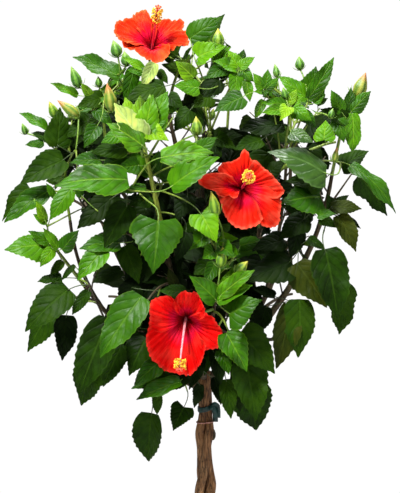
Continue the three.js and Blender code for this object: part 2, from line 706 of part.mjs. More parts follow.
function growLeaves(mass, shoots) {
  const placed = [];
  const leaves = [];
  shoots.forEach((twig, shoot) => {
    const { curve, length, from = 0 } = twig;
    const count = Math.floor((length * (1 - from)) / LEAF_STEP) + 1;
    for (let j = 0; j < count; j += 1) {
      const station = 1 - (j * LEAF_STEP) / length;
      const root = curve.getPoint(Math.max(station, 0.05));
      const along = curve.getTangent(Math.max(station, 0.05));
      const outward = outwardFrom(root);
      for (let attempt = 0; attempt < LEAF_TRIES; attempt += 1) {
        const draw = drawsFor(`${mass.name} leaf ${shoot} ${j} ${attempt}`);
        const size = mass.leaf * blend(0.82, 1.12, draw()) * (j === 0 ? blend(1, 0.6, mass.young) : 1);
        const turn = j * LEAF_TURN + shoot + attempt * 1.1 + draw() * 0.6;
        const heading = across(along, turn).addScaledVector(along, j === 0 ? 1.6 : 0.7);
        heading.addScaledVector(outward, 0.6).normalize();
        const leaf = drawnLeaf(root, heading, outward, size * (1 - 0.06 * attempt), mass.hang, draw);
        if (leafFits(leaf, mass, placed)) {
          leaf.twig = j === 0 && twig.root ? twig : null;
          leaves.push(leaf);
          for (const [along, beside] of LEAF_PLACES) {
            placed.push({ centre: onLeaf(leaf, along, beside, 0), radius: leaf.length * LEAF_ROOM });
          }
          break;
        }
      }
    }
  });
  return leaves;
}

function massSolid(mass) {
  const stem = limbs.get(mass.name);
  const twigs = growTwigs(mass, stem);
  const shoots = [{ curve: stem.curve, length: stem.curve.getLength(), from: 0.3 }, ...twigs];
  const leaves = [...leadLeaves(mass), ...growLeaves(mass, shoots)];
  const buds = twigs.slice(0, mass.buds).flatMap(({ curve, heading }) => budSolids(curve.v2, heading));
  const solid = fused([
    stem.solid(),
    ...twigs.filter((twig) => !leaves.some((leaf) => leaf.twig === twig)).map(twigSolid),
    ...leaves.map(leafSolid),
    ...buds,
  ]);
  return seated(solid, stem);
}

// ---- Blooms ----

// A petal in the flower's frame, where the flower faces +Z, from shares of its length and half width.
function petalPoint(radius, turn, along, beside) {
  const reach = radius * blend(0.05, 1, along);
  const half = radius * 0.49 * Math.sqrt(Math.sin(Math.PI * (along * 0.78 + 0.03)));
  const bell = -0.5 * (1 - along) ** 2.2 - 0.1 * along ** 3;
  const overlap = 0.09 * beside * along;
  const swing = (half / Math.max(reach, 1)) * beside * 0.98;
  const bulge = 1 - 0.1 * beside * beside * along;
  const angle = turn + Math.min(Math.max(swing, -1.2), 1.2);
  return new THREE.Vector3(
    Math.cos(angle) * reach * bulge, Math.sin(angle) * reach * bulge, (bell + overlap) * radius);
}

function bloomSolid(bloom) {
  const { radius, nod, turn } = bloom;
  const stem = limbs.get(bloom.name);
  const facing = new THREE.Quaternion().setFromUnitVectors(UP, point(bloom.faces).normalize());
  const placed = (place) => place.applyQuaternion(facing).add(point(bloom.centre));
  const petals = [0, 1, 2, 3, 4].map((index) => {
    const blade = new THREE.BoxGeometry(2, 1, 1.4, 2, 3, 1);
    const angle = turn + (index / 5) * Math.PI * 2;
    return solidOf(shaped(blade, (x, y, z) => (
      placed(petalPoint(radius, angle, y + 0.5, -x).addScaledVector(UP, z)))));
  });
  const calyx = new THREE.LatheGeometry(profileOf(CALYX, radius, radius), 6);
  const columnTip = new THREE.Vector3(0, -nod, 1).normalize().multiplyScalar(radius * 0.95);
  const columnFoot = new THREE.Vector3(0, 0, -0.4 * radius);
  const column = new THREE.QuadraticBezierCurve3(
    placed(columnFoot.clone()), placed(new THREE.Vector3(0, 0, 0.2 * radius)), placed(columnTip.clone()));
  const anthers = shaped(new THREE.SphereGeometry(1, 5, 3), (x, y, z) => (
    placed(new THREE.Vector3(x * 5.5, z * 5.5, y * 13).add(columnTip.clone().multiplyScalar(0.78)))));
  return seated(fused([
    stem.solid(),
    ...petals,
    solidOf(shaped(calyx, (x, y, z) => placed(new THREE.Vector3(x, -z, y)))),
    limbSolid(column, () => 1.8, 4, 2),
    solidOf(anthers),
  ]), stem);
}

// ---- Tie ----

function tieSolid() {
  const { height, radius, thick, wide, tails } = TIE;
  const outer = radius + thick;
  const section = [[radius, -0.5], [outer, -0.5], [outer, 0.5], [radius, 0.5], [radius, -0.5]];
  const band = new THREE.LatheGeometry(profileOf(section, 1, wide), 16).rotateX(Math.PI / 2);
  const ends = tails.map((length, index) => {
    const tail = new THREE.BoxGeometry(length, 1.2, wide * 0.9).translate(length / 2, 0, 0);
    return tail.rotateY(index ? 0.75 : -0.6).translate(outer + 2.4, -1.5 - index * 2, index ? -1 : 1);
  });
  const knot = new THREE.BoxGeometry(6, 6, 8).translate(outer + 2.6, -2.5, 0);
  const solids = [band, knot, ...ends].map((geometry) => solidOf(geometry).translate([0, 0, height]));
  return mainBody(fused(solids));
}

// ---- The plant ----

const plant = new THREE.Group();

function addPiece(name, solid, colour, roughness) {
  const material = new THREE.MeshStandardMaterial({ color: colour, roughness, metalness: 0 });
  const mesh = new THREE.Mesh(geometryOf(solid), material);
  mesh.name = name;
  plant.add(mesh);
}

addPiece('trunk', mainBody(trunkSolid()), COLOURS.bark, 0.9);
addPiece('tie_tape', tieSolid(), COLOURS.tape, 0.5);
for (const { name } of BOUGHS) {
  const limb = limbs.get(name);
  addPiece(name, seated(limb.solid(), limb), COLOURS.branch, 0.85);
}
for (const mass of MASSES) {
  const leafColour = new THREE.Color(COLOURS.grown).lerp(new THREE.Color(COLOURS.young), mass.young);
  addPiece(mass.name, massSolid(mass), leafColour, 0.45);
}
for (const bloom of BLOOMS) {
  addPiece(bloom.name, bloomSolid(bloom), COLOURS.petal, 0.55);
}

export default plant;
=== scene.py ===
# The dressed hibiscus shrub: bark, boughs, twigs, leaves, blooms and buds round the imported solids.
# The plant's own sizes are in millimetres and become metres when a piece is made. +Z is up, -Y is the front.

import math
from collections import namedtuple

import bmesh
import bpy
import numpy as np
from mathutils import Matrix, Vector, noise


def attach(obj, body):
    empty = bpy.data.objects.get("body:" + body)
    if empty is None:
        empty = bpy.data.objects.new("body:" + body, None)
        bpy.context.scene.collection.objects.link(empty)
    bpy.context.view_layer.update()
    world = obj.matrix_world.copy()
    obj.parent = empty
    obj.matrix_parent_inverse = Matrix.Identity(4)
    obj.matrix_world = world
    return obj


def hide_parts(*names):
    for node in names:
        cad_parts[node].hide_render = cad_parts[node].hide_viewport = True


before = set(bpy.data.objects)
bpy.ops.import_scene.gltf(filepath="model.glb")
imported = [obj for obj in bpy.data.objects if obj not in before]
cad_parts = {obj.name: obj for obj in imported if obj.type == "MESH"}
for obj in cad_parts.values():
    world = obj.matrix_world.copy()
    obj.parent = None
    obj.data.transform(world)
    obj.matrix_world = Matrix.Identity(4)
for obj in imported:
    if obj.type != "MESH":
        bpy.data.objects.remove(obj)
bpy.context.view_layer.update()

METRE = 0.001  # metres in a millimetre
FULL_TURN = 2 * math.pi

# ---- The camera, and places given by where it sees them ----

FRAME_SIZE = (400, 493)  # the picture's width and height, in its own units
AIM = (-8, 0, 694)
CAMERA_REACH = 2200  # from the camera to what it aims at
CAMERA_RISE = math.radians(6)
CAMERA_WAY = np.array((0, -math.cos(CAMERA_RISE), math.sin(CAMERA_RISE)))  # from its aim to the camera
EYE = np.array(AIM) + CAMERA_REACH * CAMERA_WAY
FOCAL = 1375  # the focal length in the picture's units
SENSOR = 36
EYE_DEPTH = -1800  # a depth that is near the camera

# ---- The plant: the same driving sizes as its solids ----

SEED = 20261
TRUNK_HEIGHT = 492
STRANDS = 3
STRAND_RADIUS = (9.5, 7.2)  # at foot and head
STRAND_SPREAD = 4.8
TRUNK_REACH = (20, 13)  # how far from its middle leaves keep, at foot and head
TWIST_TURNS = 1.55
# Where the twist opens: height, how far the strands stand out there, and half its length.
OPENINGS = [(4, 8, 34), (118, 4.6, 30), (208, 5.6, 30), (300, 6.2, 28), (392, 3.8, 18)]
ROOT_FLARE = (9, 22)  # outwards, and the height over which it fades
TIE_HEIGHT = 431

# Each bough: name, what carries it, where on that (0 root, 1 tip), its tip, how far its middle bows off the
# straight line, and its radius at root and tip.
BOUGHS = [
    ("bough_right", "trunk", 0.965, (196, -62, 812), (36, -16, -6), (6.6, 2.9)),
    ("bough_leader", "trunk", 0.985, (-58, -10, 905), (12, 8, 0), (7.2, 3)),
    ("bough_left", "trunk", 0.94, (-186, -78, 640), (4, -4, -26), (6, 3)),
    ("bough_front", "trunk", 0.975, (-62, -200, 735), (0, -26, -20), (5.6, 2.9)),
    ("bough_back", "trunk", 0.925, (-5, 172, 690), (4, 18, -30), (6, 2.9)),
    ("bough_back_left", "trunk", 0.975, (-172, 122, 720), (-6, 16, -24), (5.8, 2.9)),
    ("bough_back_right", "trunk", 0.945, (152, 122, 720), (10, 18, -20), (5.8, 2.9)),
    ("bough_left_high", "bough_leader", 0.3, (-150, -82, 850), (-14, -10, -12), (4.6, 2.6)),
    ("bough_left_shoulder", "bough_left_high", 0.5, (-206, -38, 832), (-10, 6, -10), (3.4, 2.4)),
    ("bough_left_wing", "bough_left", 0.72, (-205, -110, 745), (-14, -6, -8), (3.4, 2.4)),
    ("bough_front_low", "bough_front", 0.34, (14, -182, 632), (6, -10, -10), (3.6, 2.4)),
    ("bough_front_right", "bough_leader", 0.14, (84, -150, 752), (12, -14, -10), (4.2, 2.6)),
    ("bough_centre", "bough_leader", 0.4, (-6, -96, 815), (6, -10, -8), (3.8, 2.4)),
    ("bough_top_right", "bough_leader", 0.5, (34, -50, 880), (10, -4, -10), (3.6, 2.4)),
    ("bough_right_high", "bough_right", 0.5, (134, -30, 862), (0, 10, -4), (3.8, 2.4)),
    ("bough_right_low", "bough_right", 0.26, (106, -104, 566), (6, -6, -6), (3.4, 2.4)),
    ("bough_back_low", "bough_back", 0.42, (14, 142, 560), (4, 6, -8), (3.4, 2.4)),
    ("bough_back_high", "bough_back", 0.6, (-12, 138, 835), (0, 16, 0), (3.8, 2.4)),
    ("bough_back_top", "bough_leader", 0.6, (0, 62, 905), (4, 8, -4), (3.4, 2.4)),
    ("bough_back_left_high", "bough_back_left", 0.58, (-150, 92, 850), (-8, 4, -4), (3.6, 2.4)),
    ("bough_back_right_high", "bough_back_right", 0.58, (136, 92, 852), (8, 4, -4), (3.6, 2.4)),
]
BOUGH_NAMES = [row[0] for row in BOUGHS]

# Each mass of foliage: what carries it and where, the end of its stem, the reach of its leaves from there,
# its side twigs, a grown leaf's length, how far its leaves hang, how young it is, and its flower buds.
Mass = namedtuple("Mass", "name carrier at tip reach twigs leaf hang young buds")
MASSES = [Mass(f"foliage_{row[0]}", f"bough_{row[1]}", *row[2:]) for row in [
    ("top", "leader", 1, (-34, -22, 985), 112, 4, 76, 0.1, 0.6, 1),
    ("top_right", "top_right", 1, (40, -61, 969), 105, 5, 69, 0.15, 0.9, 1),
    ("centre", "centre", 1, (8, -128, 881), 105, 4, 92, 0.3, 0.5, 1),
    ("right_upper", "right_high", 1, (131, -45, 948), 112, 5, 76, 0.1, 0.6, 3),
    ("right_lead", "right", 1, (218, -62, 914), 105, 4, 81, 0.3, 0.6, 1),
    ("right_wing", "right", 0.86, (202, -63, 773), 108, 4, 94, 0.6, 0.1, 0),
    ("right_low", "right", 0.6, (177, -59, 677), 118, 4, 103, 0.8, 0, 0),
    ("right_base", "right_low", 1, (124, -110, 576), 108, 4, 99, 0.9, 0, 0),
    ("centre_right", "front_right", 1, (110, -173, 825), 112, 4, 101, 0.5, 0.2, 0),
    ("front_bright", "front", 1, (-89, -200, 863), 112, 5, 83, 0.2, 1, 1),
    ("centre_left", "front", 0.84, (-115, -191, 734), 112, 4, 99, 0.7, 0.2, 0),
    ("centre_low", "front_low", 1, (28, -209, 706), 100, 4, 81, 0.4, 0.9, 2),
    ("left_upper", "left_high", 1, (-154, -83, 937), 108, 4, 78, 0.15, 0.4, 3),
    ("left_shoulder", "left_shoulder", 1, (-221, -47, 888), 100, 4, 76, 0.2, 0.4, 2),
    ("left_wing", "left_wing", 1, (-214, -110, 799), 108, 4, 96, 0.5, 0.4, 0),
    ("left_mid", "left", 1, (-232, -125, 712), 105, 4, 74, 0.3, 0.6, 0),
    ("left_low", "left", 0.9, (-208, -54, 619), 115, 4, 103, 0.8, 0, 0),
    ("left_base", "left", 0.6, (-140, -128, 572), 118, 4, 105, 0.9, 0, 0),
    ("base_left", "left", 0.24, (-76, -83, 500), 110, 4, 90, 0.9, 0.1, 0),
    ("base_right", "right", 0.14, (56, -83, 513), 110, 4, 96, 0.9, 0.1, 0),
    ("back_top", "back_top", 1, (6, 94, 971), 112, 4, 78, 0.1, 0.5, 1),
    ("back_high", "back_high", 1, (-16, 193, 874), 120, 5, 92, 0.3, 0.4, 1),
    ("back_centre", "back", 1, (-15, 221, 723), 120, 5, 99, 0.6, 0.2, 0),
    ("back_left_high", "back_left_high", 1, (-180, 113, 911), 118, 5, 85, 0.2, 0.5, 1),
    ("back_right_high", "back_right_high", 1, (161, 115, 906), 118, 5, 85, 0.2, 0.5, 1),
    ("back_left", "back_left", 1, (-233, 101, 767), 118, 5, 96, 0.5, 0.2, 0),
    ("back_right", "back_right", 1, (218, 95, 764), 118, 5, 96, 0.5, 0.2, 0),
    ("back_left_low", "back_left", 0.5, (-163, 130, 595), 120, 4, 101, 0.9, 0, 0),
    ("back_right_low", "back_right", 0.5, (149, 131, 599), 120, 4, 101, 0.9, 0, 0),
    ("back_low", "back_low", 1, (-2, 171, 548), 112, 4, 99, 0.9, 0.1, 0),
]]

# The leaves that stand out furthest: the mass, the blade's base and its tip.
LEADS = [
    ("foliage_base_left", (-84, -66, 438), (-94, -60, 352)),
    ("foliage_right_wing", (236, -70, 812), (292, -66, 752)),
    ("foliage_top", (-8, -40, 1010), (26, -50, 1062)),
    ("foliage_left_wing", (-262, -120, 792), (-314, -120, 748)),
    ("foliage_left_low", (-232, -84, 610), (-286, -84, 540)),
    ("foliage_left_base", (-168, -136, 535), (-196, -134, 462)),
    ("foliage_base_right", (66, -92, 492), (84, -92, 412)),
    ("foliage_right_low", (206, -64, 640), (218, -66, 560)),
]

# Each bloom: what carries it and where, its middle, the way it faces, and its radius.
Bloom = namedtuple("Bloom", "name carrier at centre faces radius")
BLOOM_ROWS = [
    ("bloom_top", "bough_leader", 0.93, (-85, -58, 1028), (0.08, -0.7, 0.7), 64),
    ("bloom_right", "bough_front_right", 0.94, (53, -246, 800), (0.1, -0.97, 0.2), 63),
    ("bloom_low", "bough_front_low", 0.9, (-30, -244, 596), (-0.1, -0.95, -0.24), 63),
]

# ---- What shows from the front ----

# The crown's front: its middle across, its middle height, its half widths, and how far it stands forward.
FRONT_MIDDLE = (-10, 740)
FRONT_HALF = (320, 340, 420)  # across, up and down
FRONT_REACH = (-24, -246)  # the depth at the outline, and how much further forward the middle is

# Shoots: column and row of each end as the camera sees it, how far it is behind the crown's front, its
# radius, and its colour.
Shoot = namedtuple("Shoot", "end back radius colour", defaults=("green",))
SHOOTS = [Shoot(row[:2], *row[2:]) for row in [
    (56, 250, 16, 1.9), (48, 226, 18, 1.4), (265, 90, 10, 1.3), (289, 110, 10, 1.7), (217, 302, -4, 1.8),
    (239, 70, 10, 1.6), (308, 102, 20, 1.6), (346, 118, 16, 1.7), (326, 212, 22, 1.7), (104, 98, 44, 1.5),
    (76, 150, 40, 1.8), (146, 74, 20, 1.3), (196, 62, 20, 1.5), (120, 74, 46, 1.3),
    (88, 282, 22, 1.7, "brown"), (104, 318, 34, 1.8, "brown"), (52, 132, 36, 1.3),
    (298, 250, 40, 2.2, "brown"), (292, 300, 36, 1.9, "brown"), (228, 330, 18, 1.7),
    (184, 376, 30, 1.6, "brown"), (128, 190, 20, 1.6), (148, 300, 16, 1.8, "brown"),
    (246, 350, 40, 1.7, "brown"), (352, 165, 20, 1.6), (336, 142, 6, 2.5), (356, 104, 16, 1.3),
    (320, 108, 18, 1.2),
]]

FRONT_SHOOT, FRONT_SHOOT_RADIUS = "foliage_front_bright", (4.2, 3.0)  # the thick young shoot in the middle

# Leaves: column and row of the blade's base and of its tip, its breadth in the picture's units, its shade,
# how far its base is behind the crown's front, how far its tip is behind its base, its lean, and its bend.
# A leaf's shade is how light or dark it looks from the front, so it holds painted light and shade beside its
# own colour: deep where it lies in shadow, lighter where light falls.
Front = namedtuple("Front", "base tip wide shade back out lean bend", defaults=(0.3, 0.4))
FRONTS = [Front(row[:2], row[2:4], *row[4:]) for row in [
    # upper left
    (120, 77, 72, 57, 18, "mid", 60, -14, 0.9, 0.3), (78, 96, 50, 83, 9, "young", 40, -8, 0.6, 0.2),
    (92, 98, 81, 83, 10, "lime", 40, -4, 0.2, 0.2), (103, 98, 77, 107, 20, "dark", 50, -12, 0.4, 0.5),
    (57, 147, 60, 107, 27, "dark", 30, 10, 0.3, 0.2), (47, 129, 19, 113, 10, "fresh", 30, 0, 0.7),
    (44, 143, 25, 145, 9, "mid", 30, -6, 0.6, 0.3), (50, 139, 31, 133, 10, "dark", 40, 0, 0.6, 0.3),
    (97, 126, 84, 148, 18, "mid", 20, -10, 0.2, 0.5), (127, 147, 91, 153, 20, "dark", 40, -10, 0.4, 0.5),
    (125, 132, 101, 143, 16, "fresh", 22, -10, 0.4), (88, 122, 66, 138, 18, "dark", 56, -8, 0.3, 0.5),
    (94, 110, 113, 126, 14, "mid", 44, -6, 0.3, 0.5), (104, 104, 118, 92, 13, "fresh", 40, 4, 0.4),
    (100, 160, 70, 163, 18, "mid", 44, -10, 0.6, 0.5), (66, 150, 52, 132, 12, "deep", 50, 6),
    # middle left
    (64, 160, 20, 184, 31, "dark", 30, -14, 0.45, 0.5), (50, 190, 4, 223, 23, "mid", 35, -12, 0.5),
    (128, 180, 55, 186, 33, "fresh", -6, -18, 0.55, 0.7), (71, 189, 50, 220, 19, "fresh", 15, -6, 0.3, 0.5),
    (45, 221, 36, 201, 10, "lime", 15, -4, 0.2), (47, 223, 33, 214, 9, "young", 20, -4, 0.2, 0.3),
    (55, 198, 46, 183, 8, "fresh", 15, -4, 0.2, 0.3), (51, 245, 4, 250, 31, "fresh", 20, -12, 0.4, 0.6),
    (53, 248, 40, 267, 14, "young", 10, -4, 0.1), (50, 244, 28, 231, 12, "mid", 15, -4, 0.5),
    (58, 249, 43, 228, 10, "young", 12, -4, 0.3, 0.5), (62, 250, 79, 230, 17, "mid", 15, -6),
    (120, 243, 79, 249, 21, "mid", 20, -14, 0.5, 0.6), (104, 250, 77, 281, 27, "fresh", 0, -12, 0.3, 0.5),
    (63, 261, 50, 275, 10, "dark", 30, -4, 0.2), (112, 198, 77, 229, 26, "deep", 60, -10),
    (128, 205, 104, 248, 32, "dark", 20, -14, 0.2, 0.5), (124, 246, 139, 284, 24, "dark", 50, -8, 0.2),
    (146, 187, 122, 193, 10, "mid", 26, -4, 0.5, 0.3), (82, 196, 74, 186, 9, "mid", 30, -4, 0.3, 0.3),
    (96, 208, 122, 214, 22, "dark", 52, -10, 0.4),
    # lower left
    (69, 289, 25, 332, 37, "dark", 20, -16, 0.3, 0.8), (62, 278, 37, 282, 12, "dark", 28, -6, 0.6),
    (75, 265, 61, 281, 7, "dark", 26, -2, 0.3, 0.3), (89, 291, 72, 315, 13, "dark", 20, -4, 0.2, 0.7),
    (66, 315, 62, 361, 26, "deep", 35, -8, 0.2, 0.3), (109, 318, 79, 394, 37, "dark", 20, -14, 0.25),
    (142, 296, 100, 358, 40, "mid", -10, -18), (122, 344, 103, 387, 22, "dark", 60, -8, 0.2, 0.3),
    (146, 338, 129, 376, 36, "dark", 50, -8, 0.2, 0.5), (122, 270, 92, 283, 15, "deep", 40, -6, 0.5),
    (132, 286, 122, 318, 26, "deep", 40, -8, 0.2),
    # the foot of the crown
    (180, 374, 131, 389, 22, "mid", 36, -12, 0.5), (161, 361, 134, 385, 20, "mid", 20, -8),
    (181, 382, 136, 400, 18, "mid", 10, -8, 0.5, 0.5), (157, 392, 157, 415, 11, "dark", 14, -2, 0.2, 0.3),
    (189, 377, 156, 390, 15, "deep", 25, -6, 0.5), (184, 407, 173, 431, 28, "dark", 30, -4, 0.2),
    (226, 333, 247, 372, 30, "fresh", 4, -12, 0.2, 0.5), (221, 350, 229, 375, 18, "mid", 20, -6, 0.2),
    (245, 355, 256, 421, 40, "dark", 20, -14, 0.2), (226, 379, 231, 419, 17, "dark", 35, -6, 0.1, 0.3),
    (238, 383, 240, 412, 18, "deep", 45, -4, 0.1, 0.3), (240, 333, 275, 374, 41, "dark", 15, -14, 0.3, 0.6),
    (213, 350, 221, 385, 15, "deep", 36, -4), (203, 358, 189, 390, 15, "deep", 36, -4, 0.2),
    (200, 384, 194, 408, 12, "deep", 40, -4, 0.4), (214, 377, 221, 405, 14, "deep", 45, -4),
    # lower right
    (290, 304, 276, 369, 31, "olive", 25, -14, 0.3, 0.5),
    (299, 299, 298, 358, 34, "dark", 20, -10, 0.3, 0.5), (229, 315, 262, 300, 36, "mid", -14, -12, 0.4, 0.7),
    (275, 297, 251, 288, 11, "deep", 60, -4, 0.6), (291, 262, 245, 283, 38, "deep", 40, -16, 0.4, 0.5),
    (284, 240, 252, 250, 24, "deep", 60, -12, 0.4), (296, 263, 327, 308, 34, "olive", 30, -12, 0.3, 0.5),
    (325, 249, 338, 319, 39, "dark", 15, -14, 0.2, 0.5), (304, 219, 278, 241, 28, "deep", 40, -10, 0.3, 0.5),
    (300, 228, 290, 259, 18, "deep", 45, -8, 0.2), (308, 238, 325, 250, 11, "dark", 30, -4, 0.4),
    (262, 262, 238, 280, 26, "deep", 60, -8), (266, 306, 256, 336, 20, "deep", 60, -8),
    # middle right
    (320, 197, 280, 203, 40, "mid", 25, -16, 0.4, 0.6), (316, 186, 285, 181, 20, "dark", 35, -12, 0.7, 0.5),
    (326, 174, 267, 152, 34, "glossy", 0, -18, 0.8, 0.7), (284, 124, 238, 131, 22, "deep", 40, -16, 0.5),
    (290, 133, 314, 143, 14, "glossy", 6, -6, 0.7, 0.5), (324, 181, 296, 165, 18, "deep", 30, -8, 0.5),
    (262, 140, 234, 150, 18, "dark", 40, -8, 0.5), (330, 207, 362, 209, 15, "olive", 20, -8, 0.6),
    (334, 210, 327, 194, 16, "dark", 25, -4), (334, 207, 349, 195, 11, "deep", 28, -4, 0.4),
    (318, 215, 336, 214, 11, "mid", 10, -4, 0.7), (320, 218, 337, 228, 13, "dark", 20, -4, 0.4),
    (344, 215, 361, 229, 6, "deep", 24, -4, 0.4), (338, 215, 356, 252, 22, "olive", 15, -10),
    (350, 165, 396, 214, 15, "mid", 10, -16, 0.7, 0.9), (341, 167, 369, 151, 23, "dark", 30, 4, 0.5, 0.6),
    (270, 172, 286, 160, 16, "deep", 50, -4, 0.4), (312, 150, 318, 172, 18, "deep", 34, -4),
    # upper right
    (352, 113, 352, 154, 17, "young", 10, -10, 0.4, 0.6), (351, 112, 371, 91, 16, "fresh", 15, 0, 0.3, 0.5),
    (347, 113, 351, 87, 13, "mid", 22, 6), (342, 113, 331, 90, 14, "fresh", 15, 4, 0.2),
    (347, 122, 320, 109, 16, "dark", 20, -6, 0.5), (324, 140, 326, 120, 24, "young", -10, 14, -0.1, 0.5),
    (338, 119, 344, 143, 18, "mid", 20, -6, 0.2), (308, 99, 278, 76, 17, "fresh", 20, 6, 0.5, 0.5),
    (308, 99, 334, 57, 17, "fresh", 15, 4, -0.2, 0.5), (309, 98, 316, 66, 32, "mid", 24, 10, 0.1),
    (315, 104, 325, 89, 9, "fresh", 15, 4, 0.3, 0.3), (317, 105, 328, 98, 6, "dark", 15, 2, 0.3, 0.3),
    (286, 106, 261, 103, 13, "fresh", 10, -4, 0.5, 0.5), (286, 109, 262, 113, 13, "young", 5, -8, 0.4, 0.5),
    (289, 104, 297, 89, 10, "lime", 10, 4, 0.2), (288, 107, 280, 121, 15, "lime", 0, -6, 0.2, 0.5),
    (293, 108, 312, 121, 17, "fresh", 5, -6, 0.3, 0.5), (292, 105, 304, 96, 10, "young", 10, 2),
    (264, 100, 255, 119, 10, "young", 25, -4, 0.2), (302, 112, 316, 128, 14, "mid", 20, -4),
    (287, 104, 276, 94, 10, "fresh", 14, 4), (264, 89, 253, 73, 12, "young", 5, 2, 0.3, 0.5),
    (265, 88, 268, 69, 12, "fresh", 5, 4, 0.2, 0.5), (266, 89, 279, 78, 11, "fresh", 5, 0, 0.3, 0.5),
    (266, 91, 273, 97, 11, "mid", 8, -4), (263, 91, 254, 92, 11, "fresh", 8, -4),
    (264, 91, 264, 98, 11, "mid", 4, -6),
    # the top
    (238, 67, 228, 50, 16, "young", 5, 6, 0.2, 0.5), (240, 68, 255, 57, 11, "young", 5, 0, 0.5, 0.5),
    (236, 69, 213, 61, 15, "fresh", 10, -4, 0.6, 0.5), (242, 71, 254, 82, 14, "fresh", 5, -4, 0.3, 0.5),
    (237, 73, 233, 98, 17, "fresh", 8, -8, 0.2, 0.5), (246, 80, 250, 102, 12, "young", 10, -6, 0.2, 0.5),
    (229, 65, 205, 79, 19, "mid", 15, -8, 0.4, 0.5), (240, 62, 244, 49, 10, "mid", 15, 4),
    (227, 63, 221, 84, 18, "dark", 22, -8, 0.2, 0.5), (214, 61, 231, 47, 14, "fresh", 20, 0, 0.4),
    (198, 57, 227, 46, 24, "young", 15, -6, 0.5, 0.5), (189, 39, 222, 17.5, 24, "mid", 18, -4),
    (194, 78, 175, 61, 18, "lime", 5, -4, 0.3, 0.6), (199, 88, 173, 86, 18, "fresh", 10, -6, 0.5, 0.5),
    (220, 80, 195, 99, 22, "deep", 20, -8), (243, 97, 214, 112, 23, "mid", 8, -10, 0.4, 0.5),
    (210, 96, 192, 108, 20, "dark", 24, -6), (134, 67, 124, 101, 16, "mid", 20, -8, 0.3, 0.5),
    (145, 70, 122, 57, 9, "young", 15, -4, 0.5), (147, 73, 127, 70, 9, "fresh", 15, -4, 0.5),
    (155, 63, 142, 88, 14, "pale", 5, -8, 0.2, 0.5), (165, 86, 125, 100, 19, "dark", 20, -8, 0.5, 0.5),
    (168, 96, 184, 110, 18, "dark", 30, -8), (158, 70, 168, 84, 10, "dark", 20, -4),
    # the middle
    (138, 142, 125, 97, 30, "lime", 0, 10, 0.1), (140, 142, 140, 95, 32, "lime", 0, 10, 0.1),
    (141, 143, 114, 103, 30, "pale", -7, 8), (143, 146, 106, 123, 24, "young", -12, -6, 0.5, 0.5),
    (144, 138, 153, 94, 28, "young", 0, 8, -0.2), (146, 136, 168, 91, 30, "fresh", 5, 8, 0.2),
    (147, 129, 169, 141, 20, "lime", -6, -4, 0.4), (148, 126, 169, 119, 20, "fresh", 2, -4, 0.4, 0.5),
    (161, 158, 214, 153, 24, "young", -8, -8, 0.6, 0.5), (192, 156, 217, 137, 18, "mid", -2, -4, 0.3, 0.5),
    (171, 187, 220, 157, 30, "fresh", -12, -12, 0.5, 0.5),
    (190, 110, 174, 132, 20, "dark", 25, -6, 0.3, 0.5), (158, 221, 153, 274, 54, "mid", -14, -16, 0.15, 0.5),
    (201, 214, 217, 243, 33, "young", -6, -12, 0.2, 0.5),
    (216, 300, 189, 276, 24, "fresh", -6, -10, 0.3, 0.6), (219, 297, 231, 269, 10, "young", 0, 2, 0.2, 0.3),
    (220, 296, 255, 270, 18, "young", -8, -6, 0.4, 0.5), (218, 302, 253, 285, 17, "fresh", -8, -8, 0.5),
    (221, 294, 246, 262, 16, "young", 5, 0, 0.3, 0.5), (186, 293, 159, 291, 15, "mid", 25, -6, 0.5),
    (176, 289, 168, 268, 11, "olive", 30, 0, 0.2), (188, 196, 176, 222, 22, "deep", 30, -8),
    (150, 196, 128, 206, 18, "dark", 34, -6, 0.4), (186, 232, 176, 262, 20, "deep", 30, -8, 0.2),
]]

# Buds: column and row of the foot and of the tip, the breadth, how far behind the crown's front, the finish.
Bud = namedtuple("Bud", "foot tip wide back finish", defaults=("green",))
BUDS = [Bud(row[:2], row[2:4], *row[4:]) for row in [
    (79, 88, 71, 66, 10, 40), (99, 87, 98, 76, 7, 44), (112, 112, 107, 83, 12, 30, "flame"),
    (79, 117, 57, 100, 10, 34, "flame"), (56, 118, 49, 101, 9, 36, "yellow"), (26, 134, 22, 123, 6, 34),
    (218, 47, 218, 28, 11, 4, "yellow"), (118, 57, 113, 40, 11, 20), (127, 66, 124, 51, 10, 24),
    (150, 107, 150, 94, 7, -2), (300, 70, 299, 56, 9, 16), (286, 99, 283, 87, 7, 10),
    (197, 135, 196, 116, 10, 2, "yellow"), (216, 216, 211, 191, 10, -6, "yellow"),
    (220, 267, 223, 247, 10, -2, "yellow"), (236, 273, 248, 261, 10, -4, "yellow"),
    (356, 98, 366, 72, 13, 8, "flame"), (334, 162, 337, 147, 6, 10, "flame"), (36, 206, 34, 198, 4, 14),
    (330, 118, 333, 108, 6, 16),
]]

